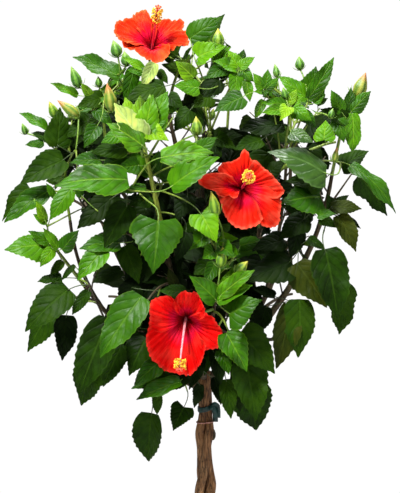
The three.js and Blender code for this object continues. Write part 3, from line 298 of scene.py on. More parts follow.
# Where the sky shows through the crown: the middle of each gap, its half width and its half height.
GAPS = [
    (178, 92, 9, 6), (159, 77, 5, 8), (182, 137, 12, 7), (152, 145, 9, 5), (59, 214, 10, 22),
    (70, 206, 8, 10), (84, 172, 8, 4), (100, 226, 8, 6), (92, 222, 5, 10), (117, 257, 9, 10),
    (98, 298, 14, 12), (84, 265, 5, 14), (106, 293, 10, 8), (78, 258, 6, 8), (70, 302, 5, 7),
    (82, 312, 6, 5), (72, 342, 4, 16), (142, 360, 7, 14), (146, 350, 4, 6), (285, 228, 13, 9),
    (280, 245, 7, 4), (293, 255, 3, 5), (310, 263, 10, 5), (322, 236, 10, 10), (306, 291, 12, 8),
    (267, 286, 9, 4), (291, 300, 6, 9), (271, 316, 6, 6), (266, 331, 3, 10), (233, 326, 3, 7),
    (243, 330, 4, 3), (219, 372, 4, 4), (184, 398, 8, 12), (170, 402, 9, 12), (287, 170, 8, 8),
    (341, 155, 5, 8), (350, 184, 14, 12), (202, 171, 5, 4), (212, 126, 3, 6), (228, 121, 5, 6),
    (266, 114, 10, 5), (300, 119, 7, 7), (323, 100, 8, 8), (290, 85, 13, 6), (225, 88, 6, 8),
    (246, 88, 4, 8), (256, 106, 4, 8), (198, 70, 3, 7), (132, 181, 5, 4), (153, 187, 4, 4),
    (125, 213, 3, 4), (288, 271, 3, 3), (262, 62, 10, 7), (336, 75, 10, 12), (206, 58, 5, 3),
    (104, 68, 10, 6), (64, 92, 8, 6),
]

# How far out the rest of the crown may be seen: row, then the columns between which its leaves stay.
OUTLINE = [
    (30, 150, 152), (42, 122, 225), (60, 110, 250), (80, 108, 272), (100, 84, 312), (120, 62, 346),
    (140, 54, 348), (160, 46, 334), (180, 44, 324), (200, 60, 326), (220, 72, 316), (240, 78, 316),
    (260, 74, 316), (280, 66, 312), (300, 80, 298), (320, 92, 298), (340, 92, 292), (360, 96, 268),
    (380, 130, 252), (398, 188, 240), (412, 190, 226),
]
CELL = 4  # the side of a cell of the map of what the front leaves hide

# Each bloom's petals: how far the rim comes forward as a share of the bloom's radius, and the points of the
# rim as the camera sees them.
PETALS = {
    "bloom_top": [
        (0.0, [(129, 21), (133, 15.5), (140, 11.5), (147, 11.5), (151, 15), (153, 20), (157, 26)]),
        (0.02, [(152, 24), (157, 20), (163, 18.5), (170, 18), (177, 20), (184, 23), (184, 27), (182, 31)]),
        (0.08, [(181, 29), (187, 33), (189.5, 40), (188, 46), (182, 46), (177, 48), (171, 49.5),
            (165, 46)]),
        (0.14, [(170, 47), (170, 54), (165, 58.5), (158, 61.5), (152, 63), (146, 61), (141, 56),
            (134, 50), (124, 47), (121, 41)]),
        (0.06, [(127, 46), (120, 42), (116, 36), (114, 29), (116, 23), (124, 20), (132, 18), (137, 22)]),
    ],
    "bloom_right": [
        (0.0, [(221, 177), (217, 169), (222, 163), (231, 162), (240, 157), (242, 150.5), (245, 148.5),
            (249, 153.5), (251, 160), (257, 161), (264, 169)]),
        (0.06, [(254, 160), (260, 163), (266, 169), (273, 176), (280, 184), (285.5, 190.5), (282, 195),
            (277, 199)]),
        (-0.02, [(280, 190), (281, 200), (280.5, 212), (280, 222), (277, 226), (270, 228), (264, 227),
            (257, 222)]),
        (0.05, [(263, 219), (258, 225), (250, 228), (243, 230), (235, 227), (228, 221), (224, 213),
            (221, 205), (218, 196)]),
        (0.12, [(232, 176), (222, 173), (211, 173), (203, 174.5), (197, 179.5), (201, 185), (208, 189),
            (215, 191.5), (218, 196), (224, 198), (229, 195), (232, 199), (237, 198), (239, 193)]),
    ],
    "bloom_low": [
        (0.08, [(173, 304), (177, 296), (182, 290.5), (187, 291), (191, 292), (194, 290.5), (198, 294),
            (201, 301), (205, 308), (205, 316)]),
        (0.02, [(202, 310), (209, 314), (214, 318), (217, 324), (221, 329), (223, 336), (221, 344),
            (217, 349), (210, 350), (203, 352)]),
        (0.04, [(206, 346), (204, 355), (201, 363), (197, 370), (191, 375), (186, 376), (181, 373),
            (178, 367)]),
        (0.06, [(184, 374), (177, 373), (170, 371), (163, 370), (157, 366), (152, 360), (149, 353),
            (147, 346), (146, 337), (148, 328)]),
        (0.0, [(148, 334), (149, 322), (150, 313), (149, 305), (152, 300), (158, 297.5), (165, 296.5),
            (172, 297.5), (178, 302)]),
    ],
}
# Each bloom's throat and its column's tip as the camera sees them, how far forward the tip is as a share of
# the radius, the share of the column from which it bears anthers, and how far they stand out.
Column = namedtuple("Column", "throat tip forward begin spread")
COLUMNS = {
    "bloom_top": Column((153, 37), (158, 8), 0.86, 0.66, 8.5),
    "bloom_right": Column((244, 186), (249, 176), 0.9, 0.84, 9.5),
    "bloom_low": Column((184, 324), (179.5, 369), 0.86, 0.84, 9.0),
}

# ---- The growing rule ----

GOLDEN_TURN = 2.39996  # between twigs round a limb
LEAF_TURN = 2.513  # between leaves round a shoot
STEM_BOW = (0.12, 0.06)  # of a mass's stem: along its carrier, and back along itself, as shares of its length
STEM_RADIUS = (3, 2.2)
CALYX_DEPTH = 0.62  # from a bloom's middle back to its stalk, as a share of its radius
STALK_BOW = 0.16
BLOOM_STALK_RADIUS = (2.3, 1.9)
TWIG_PLACES = (0.3, 0.98)  # along a stem
TWIG_SPREAD = 1.15
TWIG_LIFT = 0.25
TWIG_SHARE = (0.45, 0.35)  # a twig's least length, and what a draw adds, as shares of the mass's reach
TWIG_RADIUS = (2.2, 1.1)
TWIG_CUTS = (1, 0.8, 0.6, 0.42)  # the shares of its length that a twig may have to make do with
TWIG_SAG = 0.05
PETIOLE_LENGTH = 0.24  # of its blade's
SPACE_MARGIN = 0.6  # between the leaves of two masses
LIMB_MARGIN = 0.7  # between a limb and what isn't on it
LEAD_STATION = 0.72  # along a stem, where the twig of a leaf that stands out furthest begins
CROWN_HEART = np.array((0, 0, 690.0))  # the place that leaves face away from
CROWN_MIDDLE = np.array((-20, 0, 790.0))
CROWN_WIDE, CROWN_UP, CROWN_DOWN = 314, 304, 392
BUD_STALK = 26  # its length on the far side
BLOOM_ROOM = [(-0.2, 1.02), (0.45, 0.95), (1, 0.8)]  # balls: how far forward, and their radius
BALL_STEP = 5  # between the balls that keep a limb clear

# What the dressed plant adds to the rule: finer twigs, inner shoots, and leaves nearer together.
LEAF_STEP = 19  # between leaves along a shoot
LEAF_TRIES, TRY_TURN, TRY_SHRINK = 7, 1.1, 0.07
LEAF_ROOM = 0.062  # the radius of the balls that keep a leaf clear, as a share of its length
LEAF_SIZES = (0.62, 1.1)  # the least and the most, as shares of a grown leaf's length
YOUNG_TIP = (0.42, 0.75)  # the size of the first and the second leaf of a young shoot
LEAF_AHEAD = (1.6, 0.7)  # how far a leaf points on along its shoot: the first one, and any other
LEAF_OUTWARD = 0.6
LOWEST_LEAF = 0.03  # along a shoot
SIDE_TWIGS = 2  # on each twig
SIDE_PLACES = (0.25, 0.8)
SIDE_SHARE = 0.5  # of their twig's length
SIDE_RADIUS = (1.4, 0.8)
INNER_STEP = 22  # between the short inner shoots along a bough
INNER_PLACES = (0.28, 0.97)
INNER_LENGTH = (34, 100)
INNER_RADIUS = (1.5, 0.9)
INNER_SPREAD, INNER_LIFT = 1.3, 0.2
INNER_SHARE = 0.72  # of a bough's length that bears them
INNER_LEAF, INNER_HANG, INNER_YOUNG = 84, 0.45, 0.05  # as a mass's leaf, hang and young

UP = np.array((0, 0, 1.0))


# ---- Vectors and draws ----

def place_of(values):
    return np.array(values, dtype=float)


def blend(a, b, share):
    return a + (b - a) * share


def unit(vector):
    return vector / np.linalg.norm(vector)


def draws_for(name):
    """A repeatable run of draws between 0 and 1, started from a name: the rule's own draws."""
    mask = 0xFFFFFFFF
    state = SEED
    for letter in name:
        state = (state * 31 + ord(letter)) & mask

    def draw():
        nonlocal state
        state = (state + 0x6D2B79F5) & mask
        mixed = ((state ^ (state >> 15)) * (1 | state)) & mask
        mixed = ((mixed + (mixed ^ (mixed >> 7)) * (61 | mixed)) & mask) ^ mixed
        return ((mixed ^ (mixed >> 14)) & mask) / (mask + 1)

    return draw


def curve_point(control, share):
    """A point of the curve that three control points give."""
    start, middle, end = control
    return start * (1 - share) ** 2 + middle * (2 * share * (1 - share)) + end * share ** 2


def across(heading, turn):
    """The unit vector square to a heading, at a turn round it."""
    aside = np.array((1.0, 0, 0)) if abs(heading[2]) > 0.9 else UP
    level = unit(np.cross(heading, aside))
    rise = unit(np.cross(level, heading))
    return level * math.cos(turn) + rise * math.sin(turn)


def seen_at(column, row, depth):
    """The place at a depth (its Y) that the camera sees at a column and a row of the picture."""
    cosine, sine = math.cos(CAMERA_RISE), math.sin(CAMERA_RISE)
    aside = (column - FRAME_SIZE[0] / 2) / FOCAL
    above = (FRAME_SIZE[1] / 2 - row) / FOCAL
    ray = place_of((aside, cosine + above * sine, -sine + above * cosine))
    return EYE + ray * (depth - EYE[1]) / ray[1]


def picture_of(places):
    """The column, the row and the distance at which the camera sees places."""
    cosine, sine = math.cos(CAMERA_RISE), math.sin(CAMERA_RISE)
    off = np.atleast_2d(places) - AIM
    far = CAMERA_REACH + off[:, 1] * cosine - off[:, 2] * sine
    above = off[:, 1] * sine + off[:, 2] * cosine
    return FRAME_SIZE[0] / 2 + FOCAL * off[:, 0] / far, FRAME_SIZE[1] / 2 - FOCAL * above / far, far


def on_plane(spot, middle, normal):
    """The place where a point of the picture meets the plane through the middle."""
    eye = seen_at(*spot, EYE_DEPTH)
    away = seen_at(*spot, 0) - eye
    return eye + away * ((middle - eye).dot(normal) / away.dot(normal))


def front_at(picture, back):
    """The place so far behind the crown's front that the camera sees at a column and row."""
    near = seen_at(*picture, sum(FRONT_REACH))
    aside = (near[0] - FRONT_MIDDLE[0]) / FRONT_HALF[0]
    above = near[2] - FRONT_MIDDLE[1]
    above /= FRONT_HALF[1] if above > 0 else FRONT_HALF[2]
    swell = math.sqrt(max(0.0, 1 - aside ** 2 - above ** 2))
    return seen_at(*picture, FRONT_REACH[0] + FRONT_REACH[1] * swell + back)


GAP_MARGIN = 1.5  # round each gap, in the picture's units
GAP_ARRAY = np.array(GAPS, dtype=float) + (0, 0, GAP_MARGIN, GAP_MARGIN)


def shows_rightly(columns, rows):
    """Whether places seen there keep inside the crown's outline and out of its gaps."""
    edges = np.array(OUTLINE, dtype=float)
    if np.any(rows < edges[0, 0]) or np.any(rows > edges[-1, 0]):
        return False
    left, right = (np.interp(rows, edges[:, 0], edges[:, side]) for side in (1, 2))
    if np.any((columns < left) | (columns > right)):
        return False
    off = ((columns[:, None] - GAP_ARRAY[:, 0]) / GAP_ARRAY[:, 2]) ** 2
    off = off + ((rows[:, None] - GAP_ARRAY[:, 1]) / GAP_ARRAY[:, 3]) ** 2
    return bool(np.all(off > 1))


# ---- Limbs: boughs, and the stems of the masses and blooms ----

BLOOMS = [Bloom(*row[:3], place_of(row[3]), unit(place_of(row[4])), row[5]) for row in BLOOM_ROWS]


class Limb:
    """A tapering limb on a curve of three control points."""

    def __init__(self, name, start, middle, end, radius):
        self.name = name
        self.control = (start, middle, end)
        self.radius = radius

    def point(self, share):
        return curve_point(self.control, share)

    def tangent(self, share):
        start, middle, end = self.control
        return unit((middle - start) * (1 - share) + (end - middle) * share)

    def length(self):
        places = np.array([self.point(share) for share in np.linspace(0, 1, 40)])
        return float(np.linalg.norm(np.diff(places, axis=0), axis=1).sum())

    def width(self, share):
        return blend(self.radius[0], self.radius[1], share)


def straight(name, start, end, radius):
    return Limb(name, start, (start + end) / 2, end, radius)


limbs = {"trunk": straight("trunk", place_of((0, 0, 0)), place_of((0, 0, TRUNK_HEIGHT)), TRUNK_REACH)}


def add_limb(name, carrier, at, tip, bow, radius):
    start = limbs[carrier].point(at)
    end = place_of(tip)
    limbs[name] = Limb(name, start, (start + end) / 2 + place_of(bow) * 2, end, radius)


for name, carrier, at, tip, bow, radius in BOUGHS:
    add_limb(name, carrier, at, tip, bow, radius)
for mass in MASSES:
    bearer = limbs[mass.carrier]
    along = place_of(mass.tip) - bearer.point(mass.at)
    bow = bearer.tangent(mass.at) * np.linalg.norm(along) * STEM_BOW[0] - along * STEM_BOW[1]
    radius = (min(STEM_RADIUS[0], bearer.radius[1]), STEM_RADIUS[1])
    add_limb(mass.name, mass.carrier, mass.at, mass.tip, bow, radius)
limbs[FRONT_SHOOT].radius = FRONT_SHOOT_RADIUS
for bloom in BLOOMS:
    foot = bloom.centre - bloom.faces * bloom.radius * CALYX_DEPTH
    off = foot - limbs[bloom.carrier].point(bloom.at)
    bow = (off - bloom.faces * off.dot(bloom.faces)) * STALK_BOW
    add_limb(bloom.name, bloom.carrier, bloom.at, foot, bow, BLOOM_STALK_RADIUS)


# ---- Room: what leaves keep clear of ----

class Room:
    """Balls that leaves and twigs keep clear of, each with its owner."""

    def __init__(self):
        self.centres, self.radii, self.owners = [], [], []
        self.stacked = None

    def add(self, owner, centre, radius):
        self.centres.append(centre)
        self.radii.append(radius)
        self.owners.append(owner)
        self.stacked = None

    def arrays(self):
        if self.stacked is None:
            centres = np.array(self.centres).reshape(-1, 3)
            self.stacked = (centres, np.array(self.radii), np.array(self.owners))
        return self.stacked

    def clear(self, place, radius, owner):
        centres, radii, owners = self.arrays()
        near = np.linalg.norm(centres - place, axis=1) < radii + radius
        return not np.any(near & (owners != owner))


kept = Room()
for name, limb in limbs.items():
    steps = math.ceil(limb.length() / BALL_STEP)
    for step in range(steps + 1):
        kept.add(name, limb.point(step / steps), limb.width(step / steps) + LIMB_MARGIN)
for bloom in BLOOMS:
    for forward, share in BLOOM_ROOM:
        kept.add(bloom.name, bloom.centre + bloom.faces * bloom.radius * forward, bloom.radius * share)

TIPS = np.array([mass.tip for mass in MASSES], dtype=float)


class Hidden:
    """How far behind the front leaves and blooms anything else has to be, over the cells of the picture."""

    def __init__(self):
        self.far = np.full((FRAME_SIZE[1] // CELL + 3, FRAME_SIZE[0] // CELL + 3), -1.0)

    def cells(self, columns, rows):
        return ((rows / CELL).astype(int).clip(1, self.far.shape[0] - 2),
                (columns / CELL).astype(int).clip(1, self.far.shape[1] - 2))

    def cover(self, places):
        columns, rows, far = picture_of(places)
        down, along = self.cells(columns, rows)
        for step in ((0, 0), (1, 0), (-1, 0), (0, 1), (0, -1)):
            np.maximum.at(self.far, (down + step[0], along + step[1]), far)

    def behind(self, columns, rows, far):
        return bool(np.all(far > self.far[self.cells(columns, rows)]))


SPOKES, SPOKE_SHARES = 24, (0, 0.35, 0.6, 0.85)  # the points of a bloom that hide what is behind them
hidden = Hidden()
for bloom in BLOOMS:
    for turn in range(SPOKES):
        for share in SPOKE_SHARES:
            spoke = across(bloom.faces, turn / SPOKES * FULL_TURN) * bloom.radius * share
            hidden.cover(bloom.centre + spoke)


def crown_share(place):
    """How far out a place is: 0 at the crown's middle and 1 at its outline."""
    off = place - CROWN_MIDDLE
    return np.linalg.norm(off / (CROWN_WIDE, CROWN_WIDE, CROWN_UP if off[2] > 0 else CROWN_DOWN))


def in_space(mass, place):
    """Within the mass's reach and the crown's outline, and nearer to its own tip than to any other's."""
    own = place_of(mass.tip)
    if np.linalg.norm(place - own) > mass.reach or crown_share(place) > 1:
        return False
    rivals = TIPS - place
    side = (rivals ** 2).sum(axis=1) - ((place - own) ** 2).sum()
    margin = 2 * SPACE_MARGIN * np.linalg.norm(TIPS - own, axis=1)
    return bool(np.all((side > margin) | (margin == 0)))


# ---- Materials ----

class Wire:
    """A socket of a material's tree, with the maths that is used on it."""

    def __init__(self, tree, socket):
        self.tree = tree
        self.socket = socket

    def maths(self, operation, *values):
        return self.tree.node("ShaderNodeMath", {"operation": operation}, dict(enumerate(values)))

    def __add__(self, other):
        return self.maths("ADD", self, other)

    def __sub__(self, other):
        return self.maths("SUBTRACT", self, other)

    def __rsub__(self, other):
        return self.maths("SUBTRACT", other, self)

    def __mul__(self, other):
        return self.maths("MULTIPLY", self, other)

    def __abs__(self):
        return self.maths("ABSOLUTE", self)

    __radd__ = __add__
    __rmul__ = __mul__

    def between(self, low, high):
        """0 below low and 1 above high, with a smooth step between."""
        settings = {"interpolation_type": "SMOOTHSTEP"}
        values = {"Value": self, "From Min": low, "From Max": high}
        return self.tree.node("ShaderNodeMapRange", settings, values)

    def wave(self):
        return self.maths("SINE", self)


class Tree:
    """A material's node tree round one principled shader."""

    def __init__(self, name, **fixed):
        self.material = bpy.data.materials.new(name)
        self.material.use_nodes = True
        self.nodes = self.material.node_tree.nodes
        self.links = self.material.node_tree.links
        self.shader = self.nodes["Principled BSDF"]
        for socket, value in fixed.items():
            self.shader.inputs[socket.replace("_", " ")].default_value = value

    def node(self, kind, settings, values, output=0):
        made = self.nodes.new(kind)
        for key, value in settings.items():
            if key == "stops":
                ramp = made.color_ramp
                while len(ramp.elements) < len(value):
                    ramp.elements.new(0.5)
                for element, (place, colour) in zip(ramp.elements, value):
                    element.position = place
                    element.color = (*colour, 1)
            else:
                setattr(made, key, value)
        for socket, value in values.items():
            self.set(made.inputs[socket], value)
        return Wire(self, made.outputs[output])

    def set(self, socket, value):
        if isinstance(value, Wire):
            self.links.new(value.socket, socket)
        elif isinstance(value, tuple) and socket.type == "RGBA":
            socket.default_value = (*value, 1)
        else:
            socket.default_value = value

    def finish(self, colour, roughness, height, strength, distance):
        """The material, with its colour, its roughness, and a relief of that height."""
        values = {"Height": height, "Strength": strength, "Distance": distance}
        relief = self.node("ShaderNodeBump", {}, values)
        for socket, value in (("Base Color", colour), ("Roughness", roughness), ("Normal", relief)):
            self.set(self.shader.inputs[socket], value)
        return self.material

    def surface(self, scale=(1, 1, 1)):
        """Object coordinates, stretched or squeezed along the axes."""
        place = self.node("ShaderNodeTexCoord", {}, {}, "Object")
        return self.node("ShaderNodeMapping", {}, {"Vector": place, "Scale": scale})

    def uv(self):
        """The piece's own along and across."""
        place = self.node("ShaderNodeUVMap", {"uv_map": "UVMap"}, {})
        parts = self.nodes.new("ShaderNodeSeparateXYZ")
        self.links.new(place.socket, parts.inputs[0])
        return Wire(self, parts.outputs["X"]), Wire(self, parts.outputs["Y"])

    def noise(self, vector, scale, detail=4.0, roughness=0.55):
        values = {"Vector": vector, "Scale": scale, "Detail": detail, "Roughness": roughness}
        return self.node("ShaderNodeTexNoise", {}, values, "Fac")

    def ramp(self, factor, stops):
        return self.node("ShaderNodeValToRGB", {"stops": list(stops)}, {"Fac": factor}, "Color")

    def mix(self, factor, first, second, blend_type="MIX"):
        settings = {"data_type": "RGBA", "blend_type": blend_type}
        return self.node("ShaderNodeMix", settings, {0: factor, 6: first, 7: second}, 2)


def linear(red, green, blue):
    """A colour from its display values, 0 to 255."""
    return tuple((value / 255 / 12.92) if value <= 10 else ((value / 255 + 0.055) / 1.055) ** 2.4
                 for value in (red, green, blue))


# Each leaf shade: its face, its veins and its underside, as display colours, and its roughness.
LEAF_COLOURS = {
    # deep: a near-black green, painted shade for the leaves that lie in the crown's shadow.
    "deep": ((12, 29, 1), (24, 44, 6), (22, 38, 6), 0.55),
    "dark": ((26, 52, 1), (50, 80, 10), (42, 66, 8), 0.5),
    "olive": ((36, 47, 6), (60, 72, 18), (52, 62, 16), 0.5),
    # glossy: its greyer, bluer colours are partly a painted sheen, beside its real lower roughness.
    "glossy": ((36, 68, 14), (86, 124, 50), (54, 86, 24), 0.32),
    "mid": ((34, 76, 0), (82, 122, 16), (54, 90, 8), 0.42),
    "fresh": ((49, 99, 0), (106, 148, 24), (74, 110, 8), 0.42),
    "young": ((66, 118, 0), (128, 166, 32), (94, 134, 12), 0.44),
    "lime": ((92, 138, 2), (150, 186, 48), (116, 152, 22), 0.46),
    # pale: a whitish green, partly the leaf's own pallor and partly painted light coming through the blade.
    "pale": ((144, 168, 84), (186, 204, 136), (160, 184, 94), 0.5),
}
SIDE_VEINS = 5.5  # pairs along a leaf
VEIN_SLANT = 0.34  # how far a side vein runs on towards the tip by the edge
VEIN_SHOW = 0.42
LEAF_DARKER, LEAF_LIGHTER = (0.42, 0.42, 0.42), (1.95, 1.55, 1.3)  # what a leaf's own colour is multiplied by
LEAF_BANDS = (0.31, 0.5, 0.74)  # where a leaf is darkest, its own colour, and lightest
LEAF_GLOSS = [(0.35, 0.5), (0.49, 0.14), (9, 0.06)]  # up to each roughness, how strongly a leaf shines
UNDER_PALER, UNDER_ROUGHER = 1.25, 0.22  # a leaf's underside beside its face


def leaf_veins(tree):
    """1 on the midrib and the side veins of a blade, fading to 0 between them."""
    along, beside = tree.uv()
    off = abs(beside - 0.5) * 2
    midrib = 1 - off.between(0.02, 0.09)
    slanted = (along - off * VEIN_SLANT) * (SIDE_VEINS * math.pi)
    side = abs(slanted.wave())
    lines = (1 - side.between(0.03, 0.3)) * (1 - off.between(0.75, 1.0)) * along.between(0.0, 0.1)
    return midrib.maths("MAXIMUM", midrib, lines * 0.38), side, off


def times(colour, shares):
    return tuple(value * share for value, share in zip(colour, shares))


def leaf_material(name, face, vein, roughness, turned):
    """A leaf's face, or its underside, where the relief is turned inwards."""
    tree = Tree(name, Specular_IOR_Level=next(gloss for most, gloss in LEAF_GLOSS if roughness <= most))
    veins, side, off = leaf_veins(tree)
    pillow = side.between(0.05, 0.95) * (1 - off.between(0.8, 1.0))
    _, beside = tree.uv()
    mottle = tree.noise(tree.surface(), 46.0)
    tone = tree.node("ShaderNodeAttribute", {"attribute_name": "tone"}, {}, "Fac")
    # Mottle and tone are the leaf's own colour; pillow lightens it between the side veins and beside lightens
    # one half: painted light and shade of its puckers and fold.
    level = mottle * 0.68 + tone * 0.26 + pillow * 0.09 + beside * 0.16 - 0.09
    ground = tree.ramp(level, zip(LEAF_BANDS, (times(face, LEAF_DARKER), face, times(face, LEAF_LIGHTER))))
    pucker = tree.noise(tree.surface(), 85.0, detail=1.0)
    height = veins * -0.6 + pillow * 0.4 + pucker * 1.8
    if turned:
        height = height * -1
    # A paler rim: a painted highlight along the blade's edge.
    edged = tree.mix(off.between(0.9, 1.0) * 0.4, ground, vein)
    return tree.finish(tree.mix(veins * VEIN_SHOW, edged, vein),
                       mottle * 0.2 + (roughness - 0.1) + veins * 0.08, height, 0.6, 0.0014)


def stalk_material(name, colour, spots, roughness):
    """A smooth young stalk or twig, with fine lengthwise streaks."""
    tree = Tree(name, Specular_IOR_Level=0.45)
    streaks = tree.noise(tree.surface((3, 3, 1)), 160.0)
    return tree.finish(tree.ramp(streaks, [(0.35, spots), (0.6, colour)]),
                       streaks * 0.3 + (roughness - 0.15), streaks, 0.3, 0.0004)


CRACK_DARKER = (0.35, 0.35, 0.35)


def bark_material(name, dark, mid, light, moss, moss_share):
    """Bark with fibres that run up the limb, dark cracks and a green bloom."""
    tree = Tree(name, Specular_IOR_Level=0.3)
    fibres = tree.noise(tree.surface((1, 1, 0.09)), 420.0, detail=6.0, roughness=0.65)
    patches = tree.noise(tree.surface((1, 1, 0.35)), 46.0, detail=5.0)
    cracks = tree.noise(tree.surface((1, 1, 0.14)), 190.0, detail=3.0, roughness=0.5)
    crack = 1 - abs(cracks - 0.5).between(0.0, 0.045)
    ground = tree.ramp(fibres * 0.55 + patches * 0.45, [(0.34, dark), (0.5, mid), (0.66, light)])
    greened = tree.mix(patches.between(0.45, 0.75) * moss_share, ground, moss)
    return tree.finish(tree.mix(crack * 0.75, greened, times(dark, CRACK_DARKER)),
                       fibres * 0.25 + 0.62, fibres * 0.6 + patches * 0.5 - crack * 0.9, 0.75, 0.0012)


# From the throat outwards along a petal: how far out, and the display colour there.
THROAT_COLOURS = [(0.0, (84, 2, 8)), (0.1, (122, 2, 10)), (0.2, (176, 4, 24)), (0.32, (212, 10, 58))]
PETAL_VEIN = (140, 3, 8)


def petal_material(name, inner, outer, rim):
    """Satin red, with a crimson throat, a magenta ring round it, fine veins, and a paler rim."""
    tree = Tree(name, Specular_IOR_Level=0.06)
    along, beside = tree.uv()
    off = abs(beside - 0.5) * 2
    cloud = tree.noise(tree.surface(), 70.0)
    reach = along + (cloud - 0.5) * 0.12
    throat = [(place, linear(*shown)) for place, shown in THROAT_COLOURS]
    colour = tree.ramp(reach, throat + [(0.46, inner), (0.66, outer), (0.9, outer), (1.0, rim)])
    flush = tree.noise(tree.surface(), 36.0, detail=2.0)
    warmed = tree.mix(flush.between(0.45, 0.7) * 0.55, colour, rim)
    edged = tree.mix(off.between(0.82, 1.0) * along.between(0.2, 0.6) * 0.5, warmed, rim)
    fan = tree.node("ShaderNodeCombineXYZ", {}, {0: along * 1.4, 1: beside * 26.0, 2: cloud})
    rays = tree.noise(fan, 1.0)
    vein = 1 - abs(rays - 0.5).between(0.0, 0.07)
    beyond = tree.mix(along.between(0.2, 0.5), colour, edged)
    return tree.finish(tree.mix(vein * 0.18, beyond, linear(*PETAL_VEIN)),
                       cloud * 0.2 + 0.42, rays * 1.2 - vein * 0.4, 0.7, 0.0013)


def soft_material(name, low, high, roughness, scale=220.0, sheen=0.0):
    """A matt plant or made surface with fine mottling between two colours."""
    tree = Tree(name, Specular_IOR_Level=0.4, Sheen_Weight=sheen)
    grain = tree.noise(tree.surface(), scale)
    return tree.finish(tree.ramp(grain, [(0.35, low), (0.65, high)]),
                       grain * 0.2 + (roughness - 0.1), grain, 0.35, 0.0005)


def bud_material(name, low, high, top):
    """A bud ribbed along its length, which turns to its petals' colour towards the tip."""
    tree = Tree(name, Specular_IOR_Level=0.4)
    along, beside = tree.uv()
    ribs = (beside * (2.5 * FULL_TURN)).wave() * 0.5 + 0.5
    grain = tree.noise(tree.surface(), 260.0)
    ground = tree.ramp(ribs * 0.5 + grain * 0.5, [(0.3, low), (0.7, high)])
    return tree.finish(tree.mix((along + (grain - 0.5) * 0.2).between(0.56, 0.95), ground, top),
                       grain * 0.2 + 0.35, ribs + grain * 0.3, 0.5, 0.0006)


materials = {}
for shade, (face, vein, under, roughness) in LEAF_COLOURS.items():
    face, vein, under = linear(*face), linear(*vein), linear(*under)
    pale, rougher = times(under, (UNDER_PALER,) * 3), roughness + UNDER_ROUGHER
    for material in (leaf_material(f"leaf_{shade}", face, vein, roughness, False),
                     leaf_material(f"leaf_{shade}_under", under, pale, rougher, True)):
        materials[material.name] = material


def mix_up(maker, rows):
    """Materials from rows of a name, colours as display values, and plain values."""
    for name, *values in rows:
        values = [linear(*value) if isinstance(value, tuple) else value for value in values]
        materials[name] = maker(name, *values)


mix_up(stalk_material, [
    ("stalk_green", (124, 156, 58), (84, 122, 38), 0.42),
    # The darker stalk: the own colour of old leaves' stalks, and painted shade on the stalks of the deep
    # leaves.
    ("stalk_old", (66, 88, 38), (46, 58, 28), 0.5),
    ("twig_green", (126, 148, 50), (88, 110, 34), 0.45),
    # The front shoot's bright colour is partly painted light, standing in for the light that the leaves above
    # keep off it.
    ("twig_lime", (190, 206, 84), (146, 164, 52), 0.45),
    ("twig_brown", (78, 66, 42), (46, 38, 26), 0.62),
])
mix_up(bark_material, [
    ("bark_trunk", (40, 20, 7), (116, 78, 45), (180, 136, 95), (88, 78, 38), 0.22),
    ("bark_bough", (36, 29, 19), (72, 58, 39), (104, 88, 61), (58, 70, 32), 0.55),
])
mix_up(petal_material, [
    ("petal_of_bloom_top", (212, 10, 30), (206, 42, 9), (226, 94, 42)),
    ("petal_of_bloom_right", (216, 6, 18), (220, 31, 9), (234, 90, 64)),
    ("petal_of_bloom_low", (232, 2, 16), (240, 5, 3), (246, 56, 42)),
])
mix_up(bud_material, [
    ("calyx_green", (62, 112, 26), (118, 168, 50), (118, 168, 50)),
    ("bud_green", (52, 96, 26), (96, 146, 44), (128, 166, 62)),
    ("bud_yellow", (70, 112, 20), (126, 160, 40), (182, 176, 62)),
    ("bud_flame", (84, 118, 26), (150, 156, 58), (186, 120, 70)),
])
mix_up(soft_material, [
    ("filament_gold", (226, 130, 40), (246, 176, 72), 0.6, 400.0),
    ("column_pale", (228, 110, 126), (246, 172, 176), 0.45),
    ("column_rose", (206, 22, 52), (230, 66, 90), 0.45),
    ("anther_yellow", (232, 160, 20), (255, 214, 70), 0.7, 900.0),
    ("stigma_red", (214, 44, 20), (246, 88, 36), 0.6, 900.0, 0.4),
    ("tape_green", (2, 34, 31), (6, 58, 52), 0.45, 90.0),
    ("wire_pink", (150, 96, 84), (196, 140, 124), 0.5, 300.0),
])
materials["floor_pale"] = soft_material("floor_pale", (0.56, 0.56, 0.56), (0.58, 0.58, 0.58), 0.8, 3.0)


# ---- Leaves: where they grow ----

Leaf = namedtuple("Leaf", "root heading base axis normal side length shade width bend fold twist wave "
                  "left_phase right_phase arch broadest heart tone shows", defaults=(False,))
# How leaves differ: the least and the most of each measure, and the power that leans its draws to the least.
LEAF_SPREAD = {
    "width": (0.62, 0.84, 1), "bend": (-0.1, 1.15, 1.3), "fold": (0.08, 0.7, 1.2), "twist": (-0.5, 0.5, 1),
    "wave": (0.2, 1, 1), "left_phase": (0, FULL_TURN, 1), "right_phase": (0, FULL_TURN, 1),
    "arch": (-0.1, 1.1, 1), "broadest": (0.22, 0.34, 1), "heart": (0.04, 0.12, 1), "tone": (0, 1, 1),
}
SHADES = ("deep", "dark", "mid", "fresh", "young", "lime")
LEAF_PLACES = [(0.15, 0), (0.45, 0), (0.75, 0), (0.35, 0.24), (0.35, -0.24)]
LEAF_OUTLINE = [(0.3, 0.35), (0.3, -0.35), (0.65, 0.25), (0.65, -0.25), (0.95, 0)]


def outward_from(place):
    return unit(place - CROWN_HEART)


def lightward(outward):
    """The way that a leaf would face: up and outward, more to the front or back than to the sides."""
    return np.array((outward[0] * 0.5, outward[1] + math.copysign(0.55, outward[1]), 0.6))


